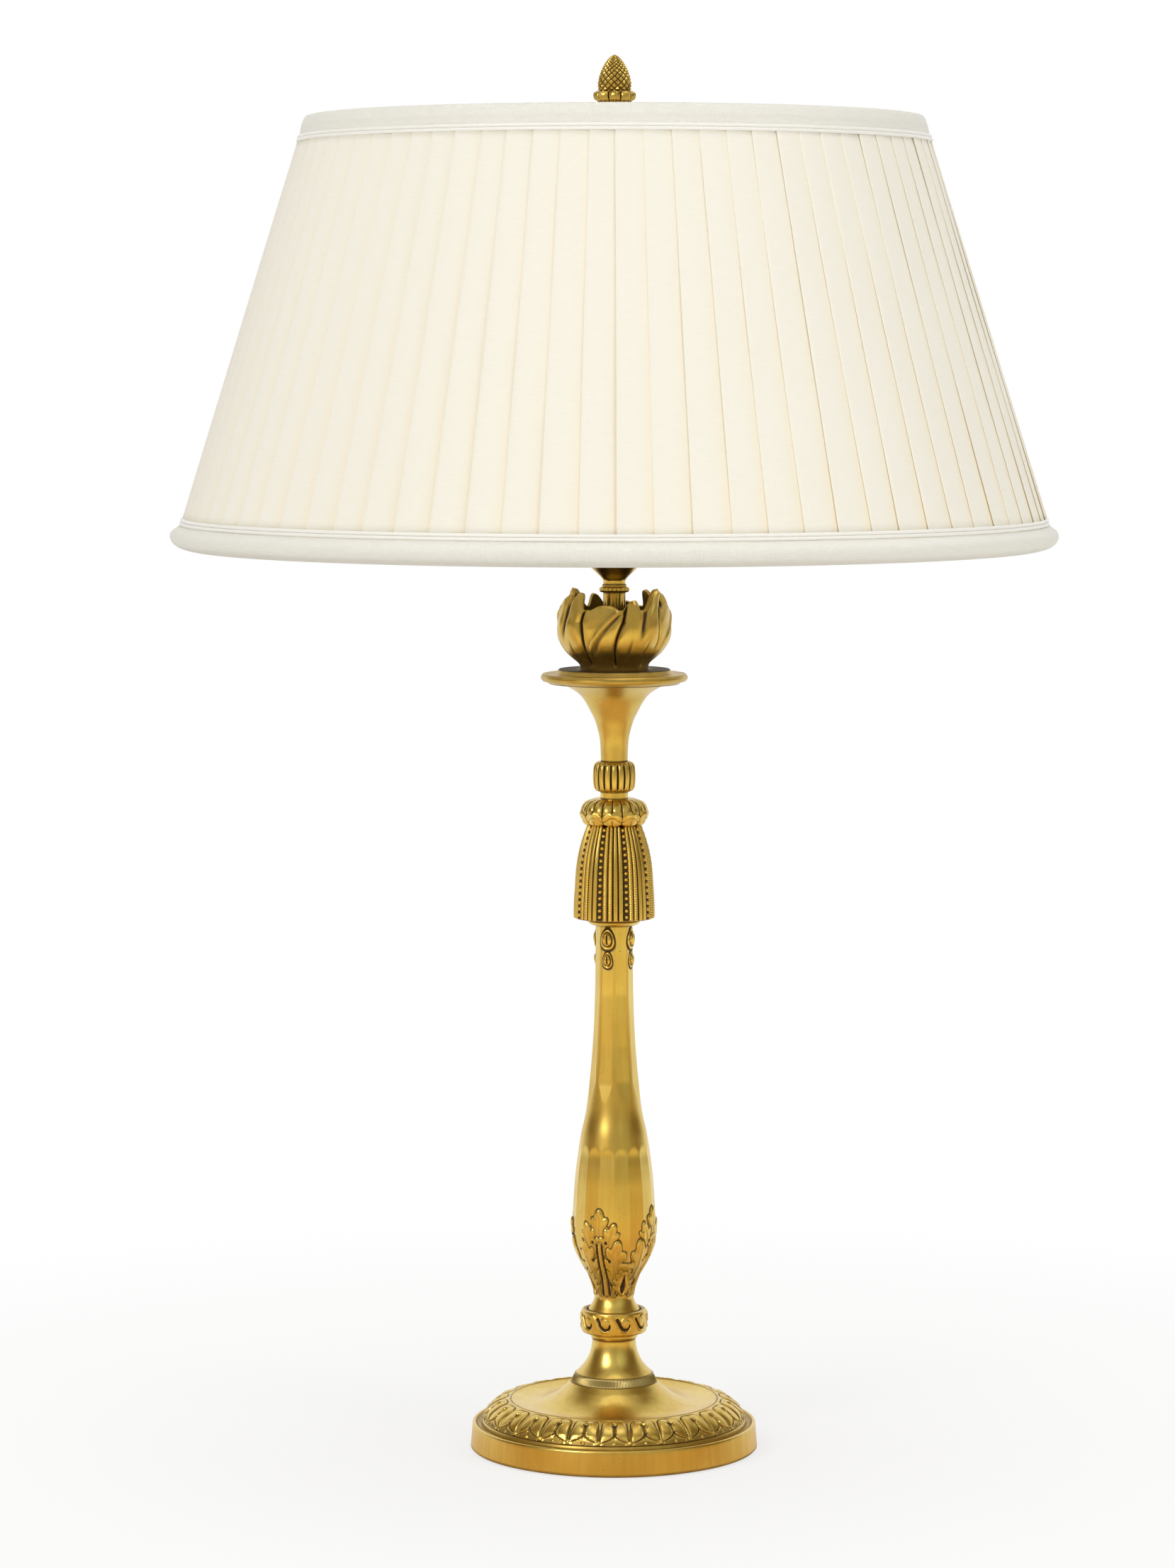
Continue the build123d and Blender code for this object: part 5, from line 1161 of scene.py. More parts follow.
@dataclass
class Tassel:
    """A bell of hanging strands: two ropes and two plain cords between each two of nine bead strings."""

    low: float = 294.0
    strings: int = 9
    first: float = -22.0
    bead: float = 1.2
    bead_pitch: float = 3.4
    columns: int = 432
    step: float = 0.33
    depth: float = 1.45
    ground: float = -0.75
    full_radius: float = 22.2
    strand_half: float = 1.42
    strands: tuple = ((2.95, 1.25), (6.05, 1.35), (9.2, 0.0), (12.3, 0.0))

    def outline(self) -> Grid:
        """The skirt's own line, from under its hem to the shoulder, a depth of strand inside the CAD's."""
        skirt = through([(22.4, 0.6), (22.3, 6.0), (21.9, 14.0), (21.0, 27.0), (19.6, 36.0), (17.4, 44.0),
                         (14.9, 51.0)], 90)
        hem = line((16.0, 0.0), (21.0, 0.0))
        return joined(hem, skirt - [self.depth - 0.7, 0.0]) + [0, self.low]

    def strand(self, offset: Grid, along: Grid, half_width: float, twist: float) -> Grid:
        """One strand: half round across, and where it is a rope, grooved by slanting lines."""
        body = bump_line(offset, half_width, 1.0)
        if not twist:
            return body * (1 - 0.16 * bell(offset / 0.3))
        phase = along / twist - offset / (1.9 * half_width)
        return body * (0.70 + 0.34 * np.abs(np.sin(math.pi * phase)) ** 0.7)

    def build(self, workshop: Workshop) -> None:
        """Makes the bell. A strand's room is a share of the girth, so it narrows over the shoulder."""
        outline = resampled(self.outline(), self.step)
        azimuth = round_angles(self.columns)
        along = run_length(outline)[:, None] + 0 * azimuth
        z = outline[:, 1:] - self.low + 0 * azimuth
        room = 2 * math.pi * self.full_radius / self.strings
        x = cell(azimuth, self.strings, self.first) * room
        raised = self.ground + 0 * x
        for centre, twist in self.strands:
            for wrap in (0.0, -room):
                strand = self.strand(x - centre - wrap, along, self.strand_half, twist)
                raised = np.maximum(raised, self.depth * strand + self.ground)
        step = np.mod(along + 0.6, self.bead_pitch) - self.bead_pitch / 2
        squeeze = np.clip(outline[:, :1] / self.full_radius, 0.6, 1)
        ball = np.sqrt(np.clip(1 - (x * squeeze / self.bead) ** 2 - (step / self.bead) ** 2, 0, 1))
        string = np.maximum(bump_line(x, 0.4, 0.3), 1.7 * ball) + self.ground
        relief = np.where(np.abs(x) < 1.45, string, raised) * smooth_step(0.1, 0.9, z)
        patina_and_painted_light = np.maximum(hollowness(relief, 2, 0.5), smooth_step(0.15, -0.6, relief))
        patina_and_painted_light = np.maximum(patina_and_painted_light, smooth_step(0.8, 0.1, z) * 0.6)
        workshop.turn("tassel", "hanging_strands", outline, self.columns, relief, patina_and_painted_light, sharp=85.0)


@dataclass
class TasselCap:
    """A collar of folded leaves over the tassel's shoulder, their hems turned up in a wavy roll."""

    low: float = 345.0
    height: float = 14.6
    lobes: int = 10
    first: float = -4.0
    columns: int = 480

    def build(self, workshop: Workshop) -> None:
        """Makes the collar: two flutes run up from each hem lobe, and small tips hang under the roll."""
        high = self.height
        outline = through([(14.6, 0), (16.9, 1.2), (18.0, 4.0), (18.4, 7.2), (17.9, 10.2), (15.8, 12.9),
                           (11.4, high)], 100) + [0, self.low]
        azimuth = round_angles(self.columns)
        share = ((outline[:, 1] - self.low) / high)[:, None]
        across = cell(azimuth, self.lobes, self.first) + 0 * share
        flute = half_round(2 * cell(azimuth, 2 * self.lobes, self.first + 9.0)) + 0 * share
        wave = 0.40 + 0.09 * np.cos(2 * math.pi * across)
        above = smooth_step(-0.02, 0.10, share - wave)
        body = (flute - 1) * 1.15 * above * smooth_step(1.02, 0.86, share)
        roll = bump_line(share - wave, 0.13, 1.0) * (0.75 + 0.25 * np.cos(4 * math.pi * across))
        tips = (half_round(2 * cell(azimuth, self.lobes, self.first)) - 1) * 1.6 + 0 * share
        notch = -0.5 * bell(across / 0.05) * smooth_step(0.30, 0.18, share)
        relief = body + (tips + notch) * (1 - above) + roll
        patina_and_painted_light = np.maximum(hollowness(relief, 2, 0.6), smooth_step(0.72, 0.3, flute) * above)
        workshop.turn("tassel_cap", "folded_leaves", outline, self.columns, relief, patina_and_painted_light, sharp=75.0)


@dataclass
class ReededCollar:
    """A barrel of half-round reeds between two soft ends."""

    low: float = 363.5
    height: float = 16.5
    reeds: int = 18
    columns_per_reed: int = 24

    def build(self, workshop: Workshop) -> None:
        """Makes the collar: each reed is half a circle across its share of the girth."""
        high = self.height
        barrel = through([(8.7, 0), (10.6, 1.2), (11.5, 3.6), (11.8, 8.2), (11.5, 12.9), (10.6, 15.3),
                          (8.7, high)], 50)
        outline = resampled(barrel + [0, self.low], 0.5)
        columns = self.reeds * self.columns_per_reed
        azimuth = round_angles(columns)
        across = cell(azimuth, self.reeds)
        share = ((outline[:, 1] - self.low) / high)[:, None]
        fade = smooth_step(0.0, 0.14, share) * smooth_step(1.0, 0.86, share)
        round_reed = half_round(2 * across)
        relief = (round_reed - 1) * 1.7 * (0.25 + 0.75 * fade)
        patina_and_painted_light = smooth_step(0.90, 0.45, round_reed) * fade + 0 * relief
        workshop.turn("reeded_collar", "reeded_barrel", outline, columns, relief, patina_and_painted_light, sharp=70.0)


@dataclass
class BeadedRing:
    """A ring of small round beads."""

    low: float = 472.3
    height: float = 2.9
    radius: float = 8.2
    beads: int = 20
    columns_per_bead: int = 20

    def build(self, workshop: Workshop) -> None:
        """Makes the ring: its outline bulges by a root of a cosine at each bead."""
        half = self.height / 2
        turn = np.linspace(-math.pi / 2, math.pi / 2, 16)
        middle = (self.radius - half, self.low + half)
        outline = np.stack([middle[0] + half * np.cos(turn), middle[1] + half * np.sin(turn)], axis=1)
        columns = self.beads * self.columns_per_bead
        azimuth = round_angles(columns)
        across = cell(azimuth, self.beads)
        ball = half_round(2 * across)
        relief = (ball - 1) * 0.95 * np.cos(turn)[:, None]
        patina_and_painted_light = smooth_step(0.6, 0.1, ball) * 0.9 + 0 * relief
        workshop.turn("beaded_ring", "bead_string", outline, columns, relief, patina_and_painted_light, sharp=70.0)


# ---------------------------------------------------------------- flame cup


@dataclass
class FlameCup:
    """A cup of swept flame petals: four tall ones, each split into two tips, over four low ones between them.

    The whole grid is turned to the right as it climbs, so every petal and every channel sweeps the same way.
    """

    low: float = 430.5
    height: float = 44.5
    first: float = 25.0
    sweep: float = 17.0
    wall: float = 1.8
    floor: float = 2.5
    bore: float = STEM_BORE
    spread: tuple = (0.17, 0.12, 0.16, 0.10)
    left_tip: tuple = (0.17, 0.24, 0.20, 0.23)
    right_tip: tuple = (0.30, 0.25, 0.28, 0.26)
    columns: int = 576
    rows: int = 90
    inner_rows: int = 40

    def side(self, share: Grid) -> Grid:
        """Radius at a share of the height, by a smooth line through a few sizes."""
        points = through([(18.3, 0), (19.6, 0.09), (25.6, 0.22), (29.4, 0.36), (30.6, 0.50), (30.1, 0.63),
                          (28.0, 0.78), (26.4, 0.9), (26.2, 1.0)], 120)
        return np.interp(share, points[:, 1], points[:, 0])

    def turn(self, share: Grid) -> Grid:
        """How far round a height is swept, in radians: slowly over the belly and fast at the tips."""
        return math.radians(self.sweep) * (0.35 * share + 0.65 * share**3.0)

    def rim(self, u: Grid, spread: Grid, left: Grid, right: Grid) -> Grid:
        """The edge's height round the cup: a floor, a low dome between petals, and two bells for the tips."""
        dome = 0.11 * np.exp(-np.abs((np.abs(u) - 0.5) / 0.19) ** 2.6)
        first = left * np.exp(-np.abs((u + spread) / 0.10) ** 2.6)
        second = right * np.exp(-np.abs((u - spread) / np.where(u > spread, 0.09, 0.13)) ** 2.3)
        return 0.70 + np.maximum.reduce([dome, first, second, 0.05 + 0 * u])

    def relief(self, u: Grid, share: Grid, spread: Grid) -> Grid:
        """How far the petals stand out: two broad swells each, a crease between, and low petals set back."""
        edge = 0.235 + 0.05 * np.sin(math.pi * np.clip(share / 0.6, 0, 1))
        outer = np.abs(u) - edge
        tall = 1.1 * half_round(u / edge) + 0.5
        crease = 1.5 * bell(u / 0.035) * smooth_step(0.30, 0.62, share)
        finger = 0.5 * bell((np.abs(u) - spread) / 0.05) * smooth_step(0.35, 0.75, share)
        v = np.where(u > 0, u - 0.5, u + 0.5)
        reach = 0.5 - edge
        low = 0.75 * half_round(v / reach) - 0.45
        curve = -0.13 + 0.30 * np.clip(share / 0.72, 0, 1) ** 2.2
        roll = 0.75 * bell((v - curve) / 0.026) - 0.6 * bell((v - curve - 0.06) / 0.035)
        low = low + roll * smooth_step(0.12, 0.3, share)
        channel = -1.5 * bell(outer / 0.028)
        line = -0.8 * bell((np.abs(u) - 0.11) / 0.02) * smooth_step(0.45, 0.15, share)
        fade = smooth_step(0.02, 0.14, share)
        return (np.where(outer < 0, tall - crease + finger + line, low) + channel) * fade

    def build(self, workshop: Workshop) -> None:
        """Makes the cup: up the outside to the rim, down the inside, over the floor and down the bore."""
        azimuth = round_angles(self.columns)
        u = cell(azimuth, 4, self.first)
        number = np.floor((azimuth - math.radians(self.first)) / (math.pi / 2) + 0.5).astype(int) % 4
        each = (self.spread, self.left_tip, self.right_tip)
        spread, left, right = (np.take(np.asarray(sizes), number) for sizes in each)
        rim = self.rim(u, spread, left, right)
        t = np.linspace(0, 1, self.rows)[:, None] ** 0.92
        share = t * rim
        relief = self.relief(u + 0 * share, share, spread)
        roll = smooth_step(1.0, 0.93, t)
        curl = 1.7 * smooth_step(0.70, 0.96, t) - 0.9 * smooth_step(0.95, 1.0, t)
        curl = curl * smooth_step(0.62, 0.9, rim)
        radius = self.side(share) + relief * (0.35 + 0.65 * roll) + curl
        height = self.low + share * self.height
        patina_and_painted_light = hollowness(relief, 3, 0.85) * roll
        # Painted shade: the whole cup is a little darker and its foot much darker, for the lampshade's shadow
        # and a dark reflection at its foot; the low places also keep their patina.
        patina_and_painted_light = np.maximum(patina_and_painted_light + 0.16, smooth_step(0.20, 0.03, share) * 0.5)
        inner_t = np.linspace(1, 0, self.inner_rows)[:, None]
        floor_share = self.floor / self.height
        inner_share = floor_share + inner_t * (rim - 0.012 - floor_share)
        inner_radius = self.side(inner_share) - self.wall + curl[-1:] * smooth_step(0.7, 1.0, inner_t)
        inner_height = self.low + inner_share * self.height
        floor_radius = np.array([[10.0], [self.bore], [self.bore], [12.0]]) + 0 * azimuth
        floor_height = np.array([[self.floor], [self.floor], [0.0], [0.0]]) + self.low + 0 * azimuth
        around = azimuth + np.vstack([self.turn(share), self.turn(inner_share), 0 * floor_radius])
        points = turned_points(np.vstack([radius, inner_radius, floor_radius]),
                               np.vstack([height, inner_height, floor_height]), around)
        # Painted shade inside the cup, darker towards its floor, and darker still on the floor and in the
        # bore.
        painted_inner_shade = np.repeat(0.35 + 0.45 * (1 - inner_t), self.columns, axis=1)
        skin = Skin("flame_petals", 60.0)
        skin.add(points, wrap_rows=True, patina_and_painted_light=np.vstack([patina_and_painted_light, painted_inner_shade, 0.6 + 0 * floor_radius]))
        workshop.make(skin, "lamp_body", Slot.GILT, "flame_cup")


# ---------------------------------------------------------------- finial


@dataclass
class Finial:
    """A pinecone in a cup of folded leaves, on a small turned foot."""

    low: float = 720.4
    height: float = 41.6
    cone_low: float = 20.6
    cone_radius: float = 8.8
    bore: float = 4.6
    bore_height: float = 12.0
    starts: int = 14
    climb: float = 1.08
    lobes: int = 9
    cone_columns: int = 364
    cup_columns: int = 288

    def build_cone(self, workshop: Workshop) -> None:
        """Makes the cone.

        Its scales are pyramids between two sets of spirals. The climb of a spiral is the height gained
        over the radius, so a scale keeps its shape as the cone narrows.
        """
        outline = through([(6.5, self.cone_low), (8.3, 22.6), (8.7, 26.0), (8.0, 30.0), (6.3, 34.6),
                           (3.9, 38.6), (1.5, 41.0), (0.0, self.height)], 170) + [0, self.low]
        outline[-1, 0] = 0.0
        azimuth = round_angles(self.cone_columns)
        along = run_length(outline)
        middle_radius = np.maximum((outline[1:, 0] + outline[:-1, 0]) / 2, 0.8)
        climb = np.r_[0, np.cumsum(np.diff(along) / middle_radius)][:, None]
        turns = self.starts / (2 * math.pi)
        rise, fall = (turns * (azimuth + way * self.climb * climb) for way in (1, -1))
        first, second = (np.abs(np.mod(value, 1.0) - 0.5) * 2 for value in (rise, fall))
        pyramid = 1 - np.maximum(first, second)
        size = np.clip(outline[:, :1] / self.cone_radius, 0.12, 1)
        relief = (1.15 * pyramid**0.85 - 0.55) * size * smooth_step(0, 1.2, along)[:, None]
        relief[-1] = 0
        patina_and_painted_light = smooth_step(0.34, 0.04, pyramid) * 0.95 + 0 * relief
        skin = turned("finial_cone", outline, 0.0, self.cone_columns, relief, patina_and_painted_light, sharp=28.0)
        workshop.make(skin, "finial", Slot.GILT, "finial")

    def build_cup(self, workshop: Workshop) -> None:
        """Makes the foot, the neck and the leaves, whose hems turn over like a cosine's upper half."""
        outline = resampled(joined(
            line((self.bore, self.bore_height), (self.bore, 0.0), 3),
            line((self.bore, 0.0), (7.6, 0.0)),
            bow((7.6, 0.0), (7.6, 1.8), 0.4, 6),
            through([(7.6, 1.8), (6.3, 2.8), (5.6, 5.2), (5.5, 7.4), (6.2, 9.6), (7.9, 13.0), (9.5, 16.4),
                     (10.4, 19.6), (10.1, 21.4), (9.0, 21.9), (8.0, 20.6)], 90),
            line((8.0, 20.6), (0.0, 20.2), 4),
        ) + [0, self.low], 0.35)
        outline[-1, 0] = 0.0
        azimuth = round_angles(self.cup_columns)
        z = (outline[:, 1] - self.low)[:, None]
        across = cell(azimuth, self.lobes) + 0 * z
        outside = (outline[:, :1] > 5.0) & (z > 8.5)
        swell = np.clip(np.cos(math.pi * across), 0, 1) ** 0.5
        hem = bump_line(z - 19.4 + 2.2 * np.abs(across) ** 1.5, 2.1, 0.9) * swell
        under = -0.7 * smooth_step(13.2, 14.6, z) * smooth_step(17.4, 16.2, z) * swell
        rib = bump_line(across, 0.06, 0.35) * smooth_step(9, 12, z)
        relief = np.where(outside, (-1.2 * (1 - swell)) * smooth_step(8.5, 12, z) + hem + under + rib, 0.0)
        relief = relief + bump_line(z - 9.0, 0.7, 0.7) * (outline[:, :1] > 5.0)
        patina_and_painted_light = np.maximum(hollowness(relief, 3, 0.5), smooth_step(0.5, 0.1, swell) * 0.8) * outside
        skin = turned("finial_leaf_cup", outline, 0.0, self.cup_columns, relief, patina_and_painted_light, sharp=60.0)
        workshop.make(skin, "finial", Slot.GILT, "finial")

    def build(self, workshop: Workshop) -> None:
        """Makes both pieces."""
        self.build_cup(workshop)
        self.build_cone(workshop)


# ---------------------------------------------------------------- shade


@dataclass
class Shade:
    """A cone shade of knife-pleated cloth, bound at both edges with ribbon under a corded gimp."""

    top_radius: float = 166.2
    bottom_radius: float = 238.4
    top: float = 729.5
    height: float = 231.0
    pleats: int = 76
    lap_top: float = 6.0
    lap_bottom: float = 3.2
    leaf_out: float = 0.25
    leaf_in: float = -0.8
    binding: float = 11.5
    gimp_width: float = 3.9
    cut_width: float = 1.955
    cloth_rows: int = 46
    cloth_thickness: float = 0.16
    ribbon_columns: int = 640
    gimp_columns: int = 1760
    cord_lay: float = 3.4
    cord_points: int = 12
    seed: int = 41

    @property
    def slant(self) -> float:
        """Length of the cone's side."""
        return math.hypot(self.bottom_radius - self.top_radius, self.height)

    def on_slant(self, down: Grid, out: Grid) -> tuple:
        """Radius and height at a distance down the side and a distance out from it, square to it."""
        lean = (self.bottom_radius - self.top_radius) / self.slant
        fall = self.height / self.slant
        return self.top_radius + lean * down + fall * out, self.top - fall * down + lean * out

    def build_cloth(self, workshop: Workshop) -> None:
        """Makes the pleated cloth as one closed strip.

        Each pleat is a long leaf that climbs to the left from an inner fold, under its right neighbour's
        edge, to an outer fold, and a short return under that. Its width is the girth over the count, plus
        two laps. The grid is worked out from left to right and then mirrored.
        """
        rows, tuck = self.cloth_rows, 0.4
        start = self.binding + self.gimp_width - tuck
        end = self.slant - self.binding - self.gimp_width + tuck
        down = np.linspace(start, end, rows)[:, None, None]
        share = (down - start) / (end - start)
        radius_here, _ = self.on_slant(down, 0.0)
        pitch = 2 * math.pi * radius_here / self.pleats
        lap = self.lap_top + (self.lap_bottom - self.lap_top) * share
        leaf = np.array([0.0, 0.06, 0.2, 0.38, 0.56, 0.74, 0.9, 0.975])
        random = np.random.default_rng(self.seed)
        drift = random.normal(0, 0.42, (3, self.pleats))
        lift = random.normal(0, 0.16, (3, self.pleats))
        fallen = share[:, 0, 0]
        weights = np.stack([(1 - fallen) ** 2, 2 * fallen * (1 - fallen), fallen**2])
        edge_drift, edge_lift = ((weights.T @ value)[:, :, None] for value in (drift, lift))
        puff = random.uniform(0.1, 0.55, (1, self.pleats, 1))
        soft = random.uniform(-0.12, 0.12, (1, self.pleats, 1))
        t = leaf[None, None, :]
        wide = pitch + lap
        across_leaf = -lap + t * wide + edge_drift * t + np.roll(edge_drift, 1, axis=1) * (1 - t)
        climb = self.leaf_in + (self.leaf_out + edge_lift - self.leaf_in) * t**0.82
        wave = 0.16 * np.sin(2 * math.pi * (1.6 * share + soft * 9)) * np.sin(math.pi * t)
        out_leaf = climb + puff * 0.5 * np.sin(math.pi * t) * t + wave
        turn_across = pitch + edge_drift + np.array([0.02, -0.05])[None, None, :]
        turn_out = self.leaf_out + edge_lift + np.array([-0.18, -0.42])[None, None, :]
        back = np.array([0.3, 0.65, 0.97])[None, None, :]
        back_across = pitch + edge_drift - back * lap
        back_out = -0.36 + edge_lift * (1 - back) + (self.leaf_in - 0.22 + 0.36) * back
        shape = (rows, self.pleats)
        across, out = (
            np.concatenate([np.broadcast_to(part, (*shape, part.shape[2])) for part in parts], axis=2)
            for parts in ((across_leaf, turn_across, back_across), (out_leaf, turn_out, back_out)))
        # Painted light across each pleat: a warm painted glow and painted shade at the crevice under each
        # fold, fading over the face.
        fold = np.array([1.0, 0.8, 0.2, 0.06, 0.0, 0.0, 0.0, 0.0, 0.0, 0.02, 0.12, 0.7, 1.0])
        angle = (np.arange(self.pleats)[None, :, None] * pitch + across) / radius_here
        angle = angle.reshape(rows, -1)
        radius, height = self.on_slant(np.broadcast_to(down[:, :, 0], angle.shape), out.reshape(rows, -1))
        skin = Skin("pleated_cover", 35.0)
        marks = np.r_[leaf * 0.80, 0.805, 0.81, 0.87, 0.93, 0.99]
        strip = self.cut_width * 1000
        u = ((np.arange(self.pleats)[:, None] + marks[None, :]) * strip / self.pleats).ravel()
        mirrored = turned_points(radius, height, -angle)[:, ::-1]
        skin.add(mirrored, patina_and_painted_light=np.tile(fold, (rows, self.pleats))[:, ::-1],
                 repeats=(strip, end - start), across=np.r_[strip - u[::-1], 2 * strip - u[-1]])
        piece = workshop.make(skin, "shade", Slot.CLOTH, "shade_cover")
        thickness = piece.modifiers.new("cloth thickness", "SOLIDIFY")
        thickness.thickness = self.cloth_thickness * MM
        thickness.offset = 0.0

    def build_ribbon(self, workshop: Workshop, name: str, edge: float, way: int, roll: float) -> None:
        """Makes a ribbon folded over one edge, with a soft roll on its face.

        Args:
            name: the CAD node and the piece.
            edge: where the edge is, down the slant.
            way: 1 where the ribbon runs down from the edge, -1 where it runs up.
            roll: how far its face swells out.
        """
        depth = self.binding
        face = through([(depth, 0.15), (depth * 0.8, 0.15 + roll * 0.45), (depth * 0.55, 0.15 + roll * 0.9),
                        (depth * 0.3, 0.1 + roll * 0.8), (1.2, roll * 0.35 - 0.2), (0.15, -1.5)], 18)
        fold = through([(0.15, -1.5), (0.0, -4.0), (0.3, -7.6), (1.6, -8.7), (6.6, -8.75)], 12)
        inside = line((6.6, -8.1), (1.4, -7.95), 3)
        rest = line((0.9, -7.2), (0.9, -2.75), 3)
        flap = line((1.6, -2.72), (depth, -2.72), 4)
        loop = joined(face, fold, inside, rest, flap)
        azimuth = round_angles(self.ribbon_columns)
        random = np.random.default_rng(self.seed + way)
        ripple = 0 * azimuth
        for count in (5, 9, 14, 23):
            ripple = ripple + random.normal(0, 0.16) * np.sin(count * azimuth + random.uniform(0, 6.3))
        on_face = np.r_[np.sin(np.linspace(0, math.pi, 18)), np.zeros(len(loop) - 18)][:, None]
        down = edge + way * loop[:, :1] + 0 * azimuth
        out = loop[:, 1:] + ripple * on_face * (0.35 if roll < 1 else 1.0)
        radius, height = self.on_slant(down, out)
        points = turned_points(radius, height, azimuth)
        if way < 0:
            points = points[::-1]
        girth = 2 * math.pi * float(radius[0, 0])
        reach = run_length(loop)[-1]
        # Painted shade near the ribbon's two edges, in the darker fold tone.
        from_middle = np.abs(loop[:, :1] - depth / 2) / (depth / 2)
        crease = smooth_step(0.75, 1.0, from_middle) * 0.35 + 0 * azimuth
        skin = Skin("bound_" + name, 50.0)
        skin.add(points[::-1], wrap_rows=True, patina_and_painted_light=crease, repeats=(girth, reach))
        piece = workshop.make(skin, "shade", Slot.RIBBON, name)

    def build_gimp(self, workshop: Workshop, name: str, start: float) -> None:
        """Makes two twisted cords side by side.

        Each is a round cord whose radius dips along one line, which winds round it once in every lay.
        """
        radius_here, _ = self.on_slant(start, 0.0)
        girth = 2 * math.pi * radius_here
        lay = round(girth / self.cord_lay)
        azimuth = round_angles(self.gimp_columns)
        section = round_angles(self.cord_points).T
        half = self.gimp_width / 4
        skin = Skin("cords_" + name, 60.0)
        for k, hand in ((0.25, 1), (0.75, -1)):
            swell = 0.99 + 0.035 * np.abs(np.sin(section * hand / 2 + lay * azimuth / 2)) ** 0.7
            down = start + k * self.gimp_width - half * swell * np.cos(section)
            out = 0.05 + half * swell * np.sin(section)
            radius, height = self.on_slant(down, out)
            # Painted shade on the side of each cord that faces the lining.
            hollow = smooth_step(-0.2, -0.8, np.sin(section)) * 0.8 + 0 * swell
            cord = turned_points(radius, height, azimuth)[::-1]
            skin.add(cord, wrap_rows=True, patina_and_painted_light=hollow[::-1], repeats=(girth, 6.2))
        workshop.make(skin, "shade", Slot.BRAID, name)

    def build(self, workshop: Workshop) -> None:
        """Makes the cloth, the two ribbons and the two gimps."""
        self.build_cloth(workshop)
        self.build_ribbon(workshop, "ribbon_top", 0.0, 1, 0.5)
        self.build_ribbon(workshop, "ribbon_bottom", self.slant, -1, 4.0)
        self.build_gimp(workshop, "gimp_top", self.binding)
        self.build_gimp(workshop, "gimp_bottom", self.slant - self.binding - self.gimp_width)


# ---------------------------------------------------------------- studio


WHITE = (1.0, 1.0, 1.0, 1.0)
WARM_WHITE = (1.0, 0.98, 0.95)


